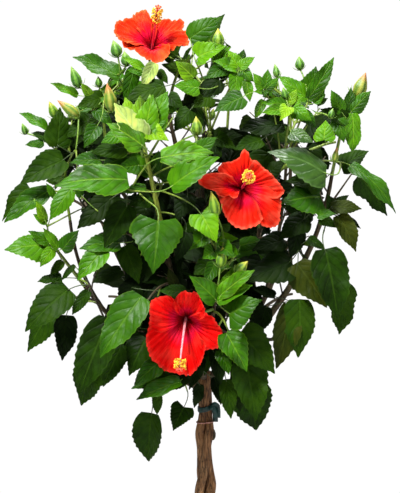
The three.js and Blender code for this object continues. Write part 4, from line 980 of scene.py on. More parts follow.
def on_leaf(leaf, along, beside):
    """A point of the blade, from shares of its length along it and across it."""
    theta = leaf.bend * along
    if abs(leaf.bend) > 1e-3:
        reach, drop = math.sin(theta) / leaf.bend, (1 - math.cos(theta)) / leaf.bend
    else:
        reach, drop = along, 0
    return leaf.base + leaf.length * (leaf.axis * reach - leaf.normal * drop + leaf.side * beside)


def framed(root, heading, base, axis, face, length, shade, draw):
    """The leaf on a stalk that leaves its root along a heading, with a blade from its base along an axis."""
    normal = unit(face - axis * face.dot(axis))
    spread = {measure: blend(low, high, draw() ** lean) for measure, (low, high, lean) in LEAF_SPREAD.items()}
    return Leaf(root, heading, base, axis, normal, np.cross(normal, axis), length, shade, **spread)


# What is drawn for each grown leaf: its stalk's length, how level it is, how far it hangs, and how it rolls.
STALK_DRAW, LEVEL_DRAW, HANG_DRAW, ROLL_DRAW = (0.8, 1.5), (0.3, 0.8), (0.6, 1.2), (-0.7, 0.7)
HANGING = (0.1, -2.2)  # how far up a leaf points: one that stands, and one that hangs


def drawn_leaf(root, heading, outward, length, hang, shade, draw):
    petiole = length * PETIOLE_LENGTH * blend(*STALK_DRAW, draw())
    base = root + heading * petiole
    level = unit(np.array((outward[0], outward[1], 0)))
    axis = heading + level * blend(*LEVEL_DRAW, draw())
    axis = unit(axis + UP * blend(*HANGING, hang * blend(*HANG_DRAW, draw())))
    face = lightward(outward) + across(axis, 0) * blend(*ROLL_DRAW, draw())
    return framed(root, heading, base, axis, face, length, shade, draw)


def leaf_grid(leaf):
    """Places spread over a blade."""
    places = [on_leaf(leaf, along, beside * leaf.width * (1 - abs(along * 2 - 0.75) ** 2 * 0.6))
              for along in (0.05, 0.25, 0.45, 0.65, 0.85) for beside in (-0.42, 0, 0.42)]
    return np.array([*places, on_leaf(leaf, 1, 0)])


def leaf_fits(leaf, inside, placed, owner):
    corners = [on_leaf(leaf, along, beside * leaf.width * 2) for along, beside in LEAF_OUTLINE]
    if not all(inside(place) for place in [*corners, leaf.base]):
        return False
    columns, rows, far = picture_of(leaf_grid(leaf))
    if not shows_rightly(columns, rows) or not hidden.behind(columns, rows, far):
        return False
    stalk = (leaf.root + (leaf.base - leaf.root) * share for share in (0.5, 1))
    if not all(kept.clear(place, 1, owner) for place in stalk):
        return False
    for room in (kept, placed):
        centres, radii, _ = room.arrays()
        if not len(radii):
            continue
        off = centres - leaf.base
        along = off @ leaf.axis / leaf.length
        half = leaf.width * leaf.length * 0.5 * np.clip(np.minimum(along * 4 + 0.3, (1 - along) * 1.9), 0, 1)
        sag = leaf.bend * np.clip(along, 0, 1) ** 2 * leaf.length / 2
        height = off @ leaf.normal + sag
        near = (along * leaf.length > -radii) & (along * leaf.length < leaf.length + radii)
        if np.any(near & (np.abs(off @ leaf.side) < half + radii) & (np.abs(height) < radii)):
            return False
    return True


# What makes a leaf lighter: youth and chance, which are its own colour, and standing far out or high up,
# which is painted light; leaves deep inside the crown take painted shade.
YOUNG_LIGHT, OUTER_PAINTED_LIGHT, HIGH_PAINTED_LIGHT, CHANCE_LIGHT, ALL_DARKER = 3.1, 1.6, 1.1, 0.5, 0.2
OUTER_FROM, OUTER_OVER = 0.45, 0.5
HIGH_FROM, HIGH_OVER = 700, 300


def shade_for(young, place, draw):
    """A leaf's shade: lighter on young growth, and lighter towards the outside and the top as painted light,
    with painted shade inside the crown.
    """
    outer = min(max((crown_share(place) - OUTER_FROM) / OUTER_OVER, 0), 1)
    high = min(max((place[2] - HIGH_FROM) / HIGH_OVER, 0), 1)
    level = YOUNG_LIGHT * young * blend(0.5, 1.1, draw()) + OUTER_PAINTED_LIGHT * outer * draw()
    level = level + HIGH_PAINTED_LIGHT * high * outer + CHANCE_LIGHT * draw() - ALL_DARKER
    return SHADES[int(min(max(level, 0), len(SHADES) - 1))]


def grow_leaves(name, shoots, inside, size, hang, young):
    """Leaves along shoots of (limb, where they start), and the numbers of the shoots that bear any."""
    placed, leaves, bearing = Room(), [], set()
    for number, (shoot, first) in enumerate(shoots):
        length = shoot.length()
        outward = outward_from(shoot.point(1))
        spray = draws_for(f"{name} spray {number}")
        for j in range(int(length * (1 - first) / LEAF_STEP) + 1):
            station = max(1 - j * LEAF_STEP / length, LOWEST_LEAF)
            root, along = shoot.point(station), shoot.tangent(station)
            for attempt in range(LEAF_TRIES):
                draw = draws_for(f"{name} leaf {number} {j} {attempt}")
                tip_share = blend(1, YOUNG_TIP[j], young) if j < 2 else 1
                length_here = size * blend(*LEAF_SIZES, draw()) * tip_share * (1 - TRY_SHRINK * attempt)
                turn = j * LEAF_TURN + number + attempt * TRY_TURN + draw() * 0.6
                heading = across(along, turn) + along * LEAF_AHEAD[min(j, 1)] + outward * LEAF_OUTWARD
                shade = shade_for(young * (1.25 if j < 2 else 0.75), root, spray)
                leaf = drawn_leaf(root, unit(heading), outward, length_here, hang, shade, draw)
                if leaf_fits(leaf, inside, placed, name):
                    leaves.append(leaf)
                    bearing.add(number)
                    for share, beside in LEAF_PLACES:
                        placed.add(name, on_leaf(leaf, share, beside), leaf.length * LEAF_ROOM)
                    break
    return leaves, bearing


def grow_twigs(mass):
    """The mass's twigs, as its solid has them, then finer ones on them."""
    stem, twigs = limbs[mass.name], []
    inside = lambda place: in_space(mass, place)
    for i in range(mass.twigs):
        draw = draws_for(f"{mass.name} twig {i}")
        station = blend(*TWIG_PLACES, (i + draw()) / mass.twigs)
        heading = sideways(stem, station, i * GOLDEN_TURN + draw(), TWIG_SPREAD)
        wanted = mass.reach * (TWIG_SHARE[0] + TWIG_SHARE[1] * draw())
        twig = longest_clear(mass.name, stem.point(station), heading, wanted, inside, TWIG_RADIUS)
        if twig:
            twigs.append(twig)
    finer = []
    for i, twig in enumerate(twigs):
        for k in range(SIDE_TWIGS):
            draw = draws_for(f"{mass.name} finer {i} {k}")
            station = blend(*SIDE_PLACES, (k + draw()) / SIDE_TWIGS)
            heading = sideways(twig, station, k * GOLDEN_TURN + i + draw() * 2)
            wanted = twig.length() * SIDE_SHARE
            side = longest_clear(mass.name, twig.point(station), heading, wanted, inside, SIDE_RADIUS)
            if side:
                finer.append((i, side))
    return twigs, finer


def sideways(limb, station, turn, spread=1, lift=TWIG_LIFT):
    """The way that a twig heads where it leaves a limb, at a turn round it."""
    along = limb.tangent(station)
    return unit(across(along, turn) * spread + along + UP * lift)


def longest_clear(owner, root, heading, wanted, inside, radius):
    """The longest twig, up to the wanted length, that keeps inside and clear of all else, or None."""
    for share in TWIG_CUTS:
        end = root + heading * wanted * share
        places = [root + (end - root) * part for part in (0.25, 0.5, 0.75, 1)]
        columns, rows, _ = picture_of(np.array(places[1:]))
        if not shows_rightly(columns, rows):
            continue
        if all(inside(place) and kept.clear(place, radius[0], owner) for place in places):
            sag = across(heading, 0.5) * wanted * share * TWIG_SAG
            return Limb(owner, root, (root + end) / 2 + sag, end, radius)
    return None


def lead_leaves(mass):
    """The leaves that stand out furthest, each with the twig that it ends."""
    leaves, twigs = [], []
    for owner, base, tip in LEADS:
        if owner != mass.name:
            continue
        draw = draws_for(f"{owner} lead {base[0]}")
        foot, root = place_of(base), limbs[owner].point(LEAD_STATION)
        axis = place_of(tip) - foot
        length = np.linalg.norm(axis)
        axis = axis / length
        end = foot - axis * length * 0.12
        end = end + (root - end) * 0.12
        leaf = framed(end, unit(foot - end), foot, axis, lightward(outward_from(foot)), length, "dark", draw)
        leaves.append(leaf._replace(bend=0.35, twist=0.1, shows=True))
        twigs.append(straight(owner, root, end, LEAD_TWIG_RADIUS))
    return leaves, twigs


def inner_shoots(name):
    """Short shoots along the outer part of a bough, which fill the crown between the masses."""
    bough, shoots = limbs[name], []
    inside = lambda place: crown_share(place) <= 1 and place[2] > TRUNK_HEIGHT - 20
    count = int(bough.length() * INNER_SHARE / INNER_STEP)
    for i in range(count):
        draw = draws_for(f"{name} inner {i}")
        station = blend(*INNER_PLACES, (i + draw()) / count)
        heading = sideways(bough, station, i * GOLDEN_TURN + draw(), INNER_SPREAD, INNER_LIFT)
        wanted = blend(*INNER_LENGTH, draw())
        shoot = longest_clear(name, bough.point(station), heading, wanted, inside, INNER_RADIUS)
        if shoot:
            shoots.append(shoot)
    return shoots, inside


# ---- The leaves, shoots and buds that show from the front ----

BEARER_STEP = 6
FAR_COST, TURN_GAIN = 1.3, 0.55  # a near limb is the best, and the more so the straighter a stalk leaves it
GROWN_MIDDLE, GROWN_ALONG, GROWN_UP = 0.45, 0.16, 0.05  # how a grown shoot bends, as shares of its reach


class Bearers:
    """Points along the limbs that can bear a shoot or a leaf."""

    def __init__(self):
        self.limbs, self.places, self.used = [], [], set()

    def add(self, limb, begin=0.2):
        steps = max(int(limb.length() * (1 - begin) / BEARER_STEP), 1)
        for step in range(steps + 1):
            share = begin + (1 - begin) * step / steps
            self.limbs.append((limb, share))
            self.places.append(limb.point(share))

    def nearest(self, place, heading):
        """The limb, and the share of it, from which a stalk best reaches the place and grows on that way."""
        off = place - np.array(self.places)
        far = np.linalg.norm(off, axis=1)
        turned = off @ heading / np.maximum(far, 1)
        limb, share = self.limbs[int(np.argmin(far * (FAR_COST - TURN_GAIN * turned)))]
        self.used.add(limb.name)
        return limb, share


bearers = Bearers()
for name, limb in limbs.items():
    if name != "trunk" and not name.startswith("bloom"):
        bearers.add(limb)


def grown_limb(name, end, heading, radius):
    """A shoot from the nearest limb to its end, which leaves the limb along it and bends away."""
    bearer, share = bearers.nearest(end, heading)
    start = bearer.point(share)
    along = end - start
    reach = np.linalg.norm(along)
    middle = start + along * GROWN_MIDDLE + bearer.tangent(share) * reach * GROWN_ALONG
    middle = middle + UP * reach * GROWN_UP
    return Limb(name, start, middle, end, radius)


SHOOT_TAPER = (1.15, 0.8)  # a shoot's radius at its foot and tip, beside the one given


def make_shoots():
    """The green and the brown shoots that show from the front."""
    made = {"green": [], "brown": []}
    for number, row in enumerate(SHOOTS):
        end = front_at(row.end, row.back)
        heading = unit(outward_from(end) + UP * 0.6)
        radius = (row.radius * SHOOT_TAPER[0], row.radius * SHOOT_TAPER[1])
        made[row.colour].append(grown_limb(f"shoot {number}", end, heading, radius))
    for limb in made["green"] + made["brown"]:
        bearers.add(limb, 0.35)
    return made["green"], made["brown"]


LONGEST_STALK = 44  # past this a front leaf gets a twig
FRONT_TWIG_RADIUS, LEAD_TWIG_RADIUS = (1.5, 1.0), (1.8, 1.2)
BROADEST_LEAF = 1.02  # of its length


def front_leaf(number, row):
    """The leaf whose blade runs from base to tip as the camera sees them, with the twig that bears it."""
    draw = draws_for(f"front {number}")
    base = front_at(row.base, row.back)
    tip = seen_at(*row.tip, base[1] + row.out)
    chord, length = unit(tip - base), np.linalg.norm(tip - base)
    toward = unit(EYE - base)
    tilt = unit(np.cross(chord, toward))
    tilt = tilt * math.copysign(1, tilt.dot((0.35, 0, 1)))
    face = toward * math.cos(row.lean) + tilt * math.sin(row.lean)
    face = unit(face - chord * face.dot(chord))
    half = row.bend / 2
    axis = chord * math.cos(half) + face * math.sin(half)
    length = length * half / math.sin(half)
    broad = row.wide * np.linalg.norm(EYE - base) / FOCAL / math.cos(row.lean)
    bearer, share = bearers.nearest(base, chord)
    root = bearer.point(share)
    stalk = base - root
    span = np.linalg.norm(stalk)
    heading = unit(stalk / span + bearer.tangent(share) * 0.3)
    twig = None
    if span > LONGEST_STALK:
        joint = base - unit(chord + stalk / span * 1.4) * LONGEST_STALK * 0.6
        middle = root + (joint - root) * 0.5 + bearer.tangent(share) * span * 0.06
        twig = Limb(bearer.name, root, middle, joint, FRONT_TWIG_RADIUS)
        root, heading = joint, twig.tangent(1)
    leaf = framed(root, heading, base, axis, face, length, row.shade, draw)
    ratio = min(broad / length, BROADEST_LEAF)
    return leaf._replace(shows=True, bend=row.bend, width=ratio, twist=leaf.twist * 0.4, fold=leaf.fold * 0.7,
                         broadest=blend(0.37, 0.22, min(max(ratio, 0.45), 0.9) / 0.45 - 1),
                         heart=min(max((ratio - 0.5) * 0.45, 0.05), 0.2)), twig


FRONT_ROOM = 0.045  # the balls that keep a front leaf clear, as a share of its length


def front_leaves():
    leaves, twigs = [], []
    for number, row in enumerate(FRONTS):
        leaf, twig = front_leaf(number, row)
        leaves.append(leaf)
        if twig:
            twigs.append(twig)
        for share, beside in LEAF_PLACES:
            kept.add("front", on_leaf(leaf, share, beside), leaf.length * FRONT_ROOM)
        grid = leaf_grid(leaf)
        hidden.cover(grid)
        hidden.cover((grid[1:] + grid[:-1]) / 2)
    return leaves, twigs


# ---- Meshes from arrays ----

def mesh_piece(name, arrays, finishes, slot, nodes=(), indices=None, uv=None, sharp=None):
    """One piece of many small closed forms. arrays are its places in millimetres, loops and totals, uv is one
    pair a vertex, and sharp marks the vertices whose shared edges are sharp."""
    places, loops, totals = arrays
    mesh = bpy.data.meshes.new(name)
    mesh.vertices.add(len(places))
    mesh.vertices.foreach_set("co", (places * METRE).astype(np.float32).ravel())
    mesh.loops.add(len(loops))
    mesh.loops.foreach_set("vertex_index", loops.astype(np.int32))
    mesh.polygons.add(len(totals))
    starts = np.concatenate(([0], np.cumsum(totals)[:-1]))
    mesh.polygons.foreach_set("loop_start", starts.astype(np.int32))
    mesh.polygons.foreach_set("use_smooth", np.ones(len(totals), dtype=bool))
    if indices is not None:
        mesh.polygons.foreach_set("material_index", indices.astype(np.int32))
    if uv is not None:
        layer = mesh.uv_layers.new(name="UVMap")
        layer.data.foreach_set("uv", uv[loops].astype(np.float32).ravel())
    mesh.update(calc_edges=True)
    if sharp is not None:
        ends = np.empty(len(mesh.edges) * 2, dtype=np.int32)
        mesh.edges.foreach_get("vertices", ends)
        ends = ends.reshape(-1, 2)
        mesh.edges.foreach_set("use_edge_sharp", sharp[ends[:, 0]] & sharp[ends[:, 1]])
    mesh.validate()
    return dressed(name, mesh, finishes, slot, nodes)


def bmesh_piece(name, bm, finish, slot, nodes=()):
    mesh = bpy.data.meshes.new(name)
    bm.to_mesh(mesh)
    bm.free()
    return dressed(name, mesh, (finish,), slot, nodes)


def linked(name, data):
    made = bpy.data.objects.new(name, data)
    bpy.context.scene.collection.objects.link(made)
    return made


def dressed(name, mesh, finishes, slot, nodes):
    """The mesh as a piece that rides on the plant, takes its finishes, and stands for the nodes. Its slot is
    not used.
    """
    for finish in finishes:
        mesh.materials.append(materials[finish])
    piece = linked(name, mesh)
    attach(piece, "root")
    if nodes:
        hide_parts(*nodes)
    return piece


class Form:
    """A small form that is copied many times: its vertices, and its faces as loops."""

    def __init__(self, bm):
        bm.verts.ensure_lookup_table()
        self.places = np.array([vert.co for vert in bm.verts], dtype=float)
        self.loops = np.array([vert.index for face in bm.faces for vert in face.verts])
        self.totals = np.array([len(face.verts) for face in bm.faces])
        self.lifts = np.array([face.calc_center_median().z for face in bm.faces])
        bm.free()

    def tiled(self, count):
        """The loops and totals of this many copies."""
        offsets = np.arange(count) * len(self.places)
        return (self.loops[None, :] + offsets[:, None]).ravel(), np.tile(self.totals, count)


def both_sides(length_steps, width_steps, pointed=True):
    """A closed blade in its own terms: x runs 0 to 1 along it, y -1 to 1 across it, and z is 1 on top and -1
    below, with the two sides joined round the edge. It comes to a point at its foot, and at its tip if it is
    pointed."""
    bm = bmesh.new()
    bmesh.ops.create_grid(bm, x_segments=length_steps, y_segments=width_steps, size=0.5)
    rim = {vert for vert in bm.verts if vert.is_boundary}
    for vert in bm.verts:
        vert.co = (vert.co.x + 0.5, vert.co.y * 2, 0 if vert in rim else 1)
        if vert.co.x < 1e-4 or (pointed and vert.co.x > 1 - 1e-4):
            vert.co.y = 0
    for corner in [vert for vert in bm.verts if len(vert.link_faces) == 1]:
        inner = next(vert for vert in corner.link_faces[0].verts if vert not in rim)
        bmesh.ops.connect_verts(bm, verts=[corner, inner])
    copied = bmesh.ops.duplicate(bm, geom=bm.verts[:] + bm.edges[:] + bm.faces[:])["geom"]
    for element in copied:
        if isinstance(element, bmesh.types.BMVert):
            element.co.z *= -1
    bmesh.ops.reverse_faces(bm, faces=[item for item in copied if isinstance(item, bmesh.types.BMFace)])
    bmesh.ops.remove_doubles(bm, verts=bm.verts[:], dist=1e-5)
    return Form(bm)


# The steps along and across a leaf that shows at the front, and along and across any other.
LEAF_STEPS = {True: (20, 4), False: (10, 4)}
leaf_forms = {shows: both_sides(*steps) for shows, steps in LEAF_STEPS.items()}


def leaf_places(leaves, form, rows):
    """The vertices of all the leaves: one row a leaf, one column a vertex of the form."""
    t, v, s = form.places.T
    field = lambda name: np.array([getattr(leaf, name) for leaf in leaves], dtype=float)[:, None]
    rim = s == 0
    row = np.rint(t * rows)
    toothed = rim & (t > 0.22) & (t < 0.97)
    notch = np.where(toothed, np.where(row % 2 == 1, 1.03, 0.96), 1)
    forward = np.where(toothed & (row % 2 == 1), 0.3 / rows, 0)
    broadest = field("broadest")
    swell = np.clip(1 - (1 - np.clip(t / broadest, 0, 1)) ** 2.3, 0, 1) ** 0.5
    u = np.clip((t - broadest) / (1 - broadest), 0, 1)
    full = 0.2 + (broadest - 0.22) * 5
    outline = swell * (1 - u) * (1 + full * u) * (1 - 0.4 * np.clip((u - 0.5) * 2, 0, 1) ** 1.5)
    length = field("length")
    lobes = field("heart") * np.abs(v) ** 1.5 * np.clip(1 - t, 0, 1) ** 5
    along = np.clip(t + forward - lobes, -0.3, 1)
    half = field("width") * length / 2 * outline * notch
    bend = field("bend") + 1e-4
    theta = bend * along
    reach, drop = np.sin(theta) / bend * length, (1 - np.cos(theta)) / bend * length
    fold = field("fold")
    lateral = v * half * np.cos(fold)
    arch = field("arch")
    rise = np.abs(v) * half * np.sin(fold) - arch * (v * half) ** 2 / length
    depth = field("wave")
    phase = np.where(v > 0, field("left_phase"), field("right_phase"))
    rise = rise + depth * length * 0.07 * np.sin(t * 11 + phase) * np.abs(v) ** 1.5 * outline
    thick = 0.22 + 0.25 * np.exp(-(v * 6) ** 2)
    rise = rise + s * thick
    twist = field("twist") * along
    axis, normal, side = field("axis"), field("normal"), field("side")
    up = normal * np.cos(theta)[..., None] + axis * np.sin(theta)[..., None]
    turned_side = side * np.cos(twist)[..., None] + up * np.sin(twist)[..., None]
    turned_up = up * np.cos(twist)[..., None] - side * np.sin(twist)[..., None]
    spine = field("base") + axis * reach[..., None] - normal * drop[..., None]
    return spine + turned_side * lateral[..., None] + turned_up * rise[..., None]


def leaves_piece(name, leaves, shade, nodes):
    shows, count = leaves[0].shows, len(leaves)
    form = leaf_forms[shows]
    places = leaf_places(leaves, form, LEAF_STEPS[shows][0])
    loops, totals = form.tiled(count)
    t, v, s = form.places.T
    uv = np.tile(np.stack([t, v * 0.5 + 0.5], axis=1), (count, 1))
    under = np.tile((form.lifts < 0).astype(int), count)
    arrays, finishes = (places.reshape(-1, 3), loops, totals), (f"leaf_{shade}", f"leaf_{shade}_under")
    piece = mesh_piece(name, arrays, finishes, "foliage", nodes, under, uv, np.tile(s == 0, count))
    tone = piece.data.attributes.new("tone", "FLOAT", "POINT")
    tone.data.foreach_set("value", np.repeat([leaf.tone for leaf in leaves], len(t)).astype(np.float32))


def tube_arrays(paths, radii, sides):
    """Closed tubes: paths is (tubes, rings, 3) and radii (tubes, rings). Returns places, loops and totals."""
    count, rings, _ = paths.shape
    tangents = np.gradient(paths, axis=1)
    tangents /= np.linalg.norm(tangents, axis=2, keepdims=True)
    chord = paths[:, -1] - paths[:, 0]
    upright = np.abs(chord[:, 2:3]) > 0.8 * np.linalg.norm(chord, axis=1, keepdims=True)
    aside = np.where(upright, (1.0, 0, 0), UP)
    first = np.cross(tangents, aside[:, None, :])
    first /= np.linalg.norm(first, axis=2, keepdims=True)
    second = np.cross(tangents, first)
    angle = np.arange(sides) / sides * FULL_TURN
    offset = first[:, :, None, :] * np.cos(angle)[:, None] + second[:, :, None, :] * np.sin(angle)[:, None]
    places = paths[:, :, None, :] + offset * radii[:, :, None, None]
    ring = np.arange(rings - 1)[:, None] * sides
    here, after = np.arange(sides), (np.arange(sides) + 1) % sides
    quads = [ring + here, ring + after, ring + sides + after, ring + sides + here]
    quads = np.stack(quads, axis=-1).reshape(-1)
    ends = np.concatenate([here[::-1], (rings - 1) * sides + here])
    loops_one = np.concatenate([quads, ends])
    totals_one = np.concatenate([np.full((rings - 1) * sides, 4), [sides, sides]])
    loops = (loops_one[None, :] + (np.arange(count) * rings * sides)[:, None]).ravel()
    return places.reshape(-1, 3), loops, np.tile(totals_one, count)


def joined(parts):
    """Several (places, loops, totals) as one."""
    offset, places, loops, totals = 0, [], [], []
    for part_places, part_loops, part_totals in parts:
        places.append(part_places)
        loops.append(part_loops + offset)
        totals.append(part_totals)
        offset += len(part_places)
    return np.concatenate(places), np.concatenate(loops), np.concatenate(totals)


def petiole_arrays(leaves):
    """A curved stalk from each leaf's root to its blade."""
    shares = np.linspace(-0.04, 1.03, 6)
    paths, radii = [], []
    for leaf in leaves:
        span = np.linalg.norm(leaf.base - leaf.root)
        middle = leaf.root + leaf.heading * span * 0.55
        end = leaf.base + leaf.axis * leaf.length * 0.05
        paths.append([curve_point((leaf.root, middle, end), share) for share in shares])
        radii.append(np.interp(shares, (0, 0.15, 1), (1.3, 0.85, 0.7)) * blend(0.75, 1.1, leaf.length / 110))
    return tube_arrays(np.array(paths), np.array(radii), 5)


def limb_arrays(group, rings, sides):
    shares = np.linspace(0, 1, rings)
    paths = np.array([[limb.point(share) for share in shares] for limb in group])
    radii = np.array([[limb.width(share) for share in shares] for limb in group])
    return tube_arrays(paths, radii, sides)


# ---- Trunk and boughs ----

def strand_centre(index, height):
    opened = (out * math.exp(-((height - middle) / half) ** 2) for middle, out, half in OPENINGS)
    spread = STRAND_SPREAD + sum(opened)
    turn = (index / STRANDS + height / TRUNK_HEIGHT * TWIST_TURNS) * FULL_TURN
    return Vector((math.cos(turn) * spread, math.sin(turn) * spread, height))


def strand_radius(height):
    flare = ROOT_FLARE[0] * math.exp(-height / ROOT_FLARE[1])
    return blend(*STRAND_RADIUS, height / TRUNK_HEIGHT) + flare


def bark_relief(place, angle, spin):
    """How far the bark stands out at a place, in millimetres: long plates, fibres and a few knots."""
    plates = noise.noise(Vector((place.x * 0.09, place.y * 0.09, place.z * 0.018)) + Vector((spin, 0, 0)))
    fibres = noise.noise(Vector((math.cos(angle) * 3.2, math.sin(angle) * 3.2, place.z * 0.03 + spin * 7)))
    knots = noise.noise(Vector((place.x * 0.03, place.y * 0.03, place.z * 0.03 + spin)))
    return 0.9 * plates - 0.85 * abs(fibres) + 1.6 * max(knots - 0.42, 0) * 2.2


STRAND_SIDES, STRAND_RINGS = 40, 230


def trunk_piece():
    """The three strands as one piece, each closed, with level cuts at the ground and at the head."""
    whole = bmesh.new()
    for index in range(STRANDS):
        bm = bmesh.new()
        bmesh.ops.create_cone(bm, cap_ends=True, segments=STRAND_SIDES, radius1=1, radius2=1, depth=1)
        upright = [edge for edge in bm.edges if abs(edge.verts[0].co.z - edge.verts[1].co.z) > 0.5]
        bmesh.ops.subdivide_edges(bm, edges=upright, cuts=STRAND_RINGS - 1)
        for vert in bm.verts:
            height = (vert.co.z + 0.5) * TRUNK_HEIGHT
            angle = math.atan2(vert.co.y, vert.co.x)
            round_place = Vector((math.cos(angle), math.sin(angle), 0))
            radius = strand_radius(height)
            place = strand_centre(index, height) + round_place * radius
            relief = bark_relief(place, angle + height * 0.004, index * 3.7)
            vert.co = (place + round_place * relief) * METRE
            vert.co.z = height * METRE
        piece_mesh = bpy.data.meshes.new("strand")
        bm.to_mesh(piece_mesh)
        bm.free()
        whole.from_mesh(piece_mesh)
        bpy.data.meshes.remove(piece_mesh)
    for face in whole.faces:
        face.smooth = len(face.verts) == 4
    return bmesh_piece("bark_of_trunk", whole, "bark_trunk", "bark", ("trunk",))


def hull_radius(angle, height):
    """How far out something wound round the strands lies."""
    way = Vector((math.cos(angle), math.sin(angle), 0))
    return max(strand_centre(index, height).dot(way) for index in range(STRANDS)) + strand_radius(height)


def wound_band(bm, height, width, thick, tilt, sides):
    """A closed band wound once round the trunk: a strip's outline spun round and laid on the strands."""
    outline = [bm.verts.new((1, 0, 0)) for _ in range(sides)]
    for index, vert in enumerate(outline):
        turn = (index + 0.5) / sides * FULL_TURN
        vert.co = (1 + thick / 2 * math.cos(turn) / 10, 0, width / 2 * math.sin(turn))
    edges = [bm.edges.new((outline[index - 1], outline[index])) for index in range(sides)]
    spun = bmesh.ops.spin(bm, geom=outline + edges, cent=(0, 0, 0), axis=(0, 0, 1), angle=FULL_TURN, steps=72,
                          use_merge=True)
    for vert in {vert for face in bm.faces for vert in face.verts if not vert.tag}:
        vert.tag = True
        angle = math.atan2(vert.co.y, vert.co.x)
        lift = (math.hypot(vert.co.x, vert.co.y) - 1) * 10
        radius = hull_radius(angle, height) + thick * 0.6 + lift
        rise = height + vert.co.z + tilt * math.cos(angle)
        vert.co = (math.cos(angle) * radius * METRE, math.sin(angle) * radius * METRE, rise * METRE)
    return spun


RIBBON_LOOK = 0.06  # how far on and back along a tape its direction is taken from


def ribbon(bm, path, width, thick):
    """A closed strip of tape along a path, slightly cupped."""
    made = bmesh.ops.create_grid(bm, x_segments=20, y_segments=4, size=0.5)["verts"]
    steps, path = np.linspace(0, 1, len(path)), np.array(path, dtype=float)
    at = lambda share: place_of([np.interp(share, steps, path[:, axis]) for axis in range(3)])
    for vert in made:
        share, beside = vert.co.x + 0.5, vert.co.y
        ahead = at(min(share + RIBBON_LOOK, 1)) - at(max(share - RIBBON_LOOK, 0))
        level = unit(np.cross(ahead, (0.25, 1, 0.1)))
        cup = np.array((0, 1.0, 0)) * (beside ** 2 * 6 - 0.6)
        vert.co = Vector((at(share) + level * beside * width + cup) * METRE)
        vert.tag = True
    faces = list({face for vert in made for face in vert.link_faces})
    bmesh.ops.solidify(bm, geom=faces, thickness=thick * METRE)


def by_axis(place, size):
    return Vector([part * share for part, share in zip(place, size)])


def smoothed(bm):
    bmesh.ops.recalc_face_normals(bm, faces=bm.faces[:])
    for face in bm.faces:
        face.smooth = True
    return bm


TAPE_BAND = {"width": 8.5, "thick": 1.0, "tilt": 2.2, "sides": 10}
TAPE_ENDS = [
    [(11, -9, 436), (16, -9, 439), (20, -8, 436), (21, -8, 427), (21, -7, 417)],
    [(11, -9, 432), (14, -11, 432), (16.5, -11, 424), (17, -10, 411)],
]
END_WIDTH, END_THICK = 8.6, 0.5
KNOT_PLACE, KNOT_SIZE = (11.5, -9.2, TIE_HEIGHT + 2.6), (3.6, 3.2, 4.4)
WIRE_HEIGHT = 409
WIRE_BAND = {"width": 1.7, "thick": 1.7, "tilt": 0.6, "sides": 8}
STUB_TURN, STUB_HEIGHT, STUB_SUNK = -0.35, 388, 1.5
STUB_SIZE, STUB_ROUGH = (4.2, 4.2, 9), 0.14


def tie_pieces():
    """The nursery tape with its two ends, the wire below it, and the stub of a cut shoot."""
    bm = bmesh.new()
    wound_band(bm, TIE_HEIGHT, **TAPE_BAND)
    for path in TAPE_ENDS:
        ribbon(bm, path, END_WIDTH, END_THICK)
    knot = bmesh.ops.create_icosphere(bm, subdivisions=3, radius=1)["verts"]
    for vert in knot:
        vert.co = (Vector(KNOT_PLACE) + by_axis(vert.co, KNOT_SIZE)) * METRE
        vert.tag = True
    bmesh_piece("nursery_tape", smoothed(bm), "tape_green", "tape", ("tie_tape",))

    bm = bmesh.new()
    wound_band(bm, WIRE_HEIGHT, **WIRE_BAND)
    bmesh_piece("tie_wire", smoothed(bm), "wire_pink", "bark")

    bm = bmesh.new()
    bmesh.ops.create_icosphere(bm, subdivisions=4, radius=1)
    out = hull_radius(STUB_TURN, STUB_HEIGHT) - STUB_SUNK
    middle = Vector((math.cos(STUB_TURN) * out, math.sin(STUB_TURN) * out, STUB_HEIGHT))
    for vert in bm.verts:
        rough = 1 + STUB_ROUGH * noise.noise(vert.co * 2.3)
        vert.co = (middle + by_axis(vert.co, STUB_SIZE) * rough) * METRE
    bmesh_piece("cut_stub", smoothed(bm), "bark_bough", "bark")


BOUGH_SIDES, BOUGH_RINGS = 14, 56


def bough_arrays(limb, index):
    """A bough with its bark's relief and slight swellings at even steps along it."""
    places, loops, totals = limb_arrays([limb], BOUGH_RINGS, BOUGH_SIDES)
    rings = places.reshape(BOUGH_RINGS, BOUGH_SIDES, 3)
    for ring, share in enumerate(np.linspace(0, 1, BOUGH_RINGS)):
        centre = limb.point(share)
        node = 1 + 0.1 * max(0, math.sin(share * limb.length() / 34 * FULL_TURN + index)) ** 6
        for side in range(BOUGH_SIDES):
            off = rings[ring, side] - centre
            grain = noise.noise(Vector((side * 0.9 + index, share * 14, index * 1.7)))
            rings[ring, side] = centre + off * (node + 0.1 * grain)
    return rings.reshape(-1, 3), loops, totals


def boughs_piece():
    parts = [bough_arrays(limbs[name], index) for index, name in enumerate(BOUGH_NAMES)]
    mesh_piece("bark_of_boughs", joined(parts), ("bark_bough",), "bark", BOUGH_NAMES)


# ---- Foliage ----

STEM_BARE, TWIG_BARE, SIDE_BARE = 0.3, 0.0, 0.1  # the share from a shoot's foot that bears no leaves
GREEN_STEMS, GREEN_SIDES = 0.3, 0.15  # how young a mass is with green twigs, and with green finer twigs


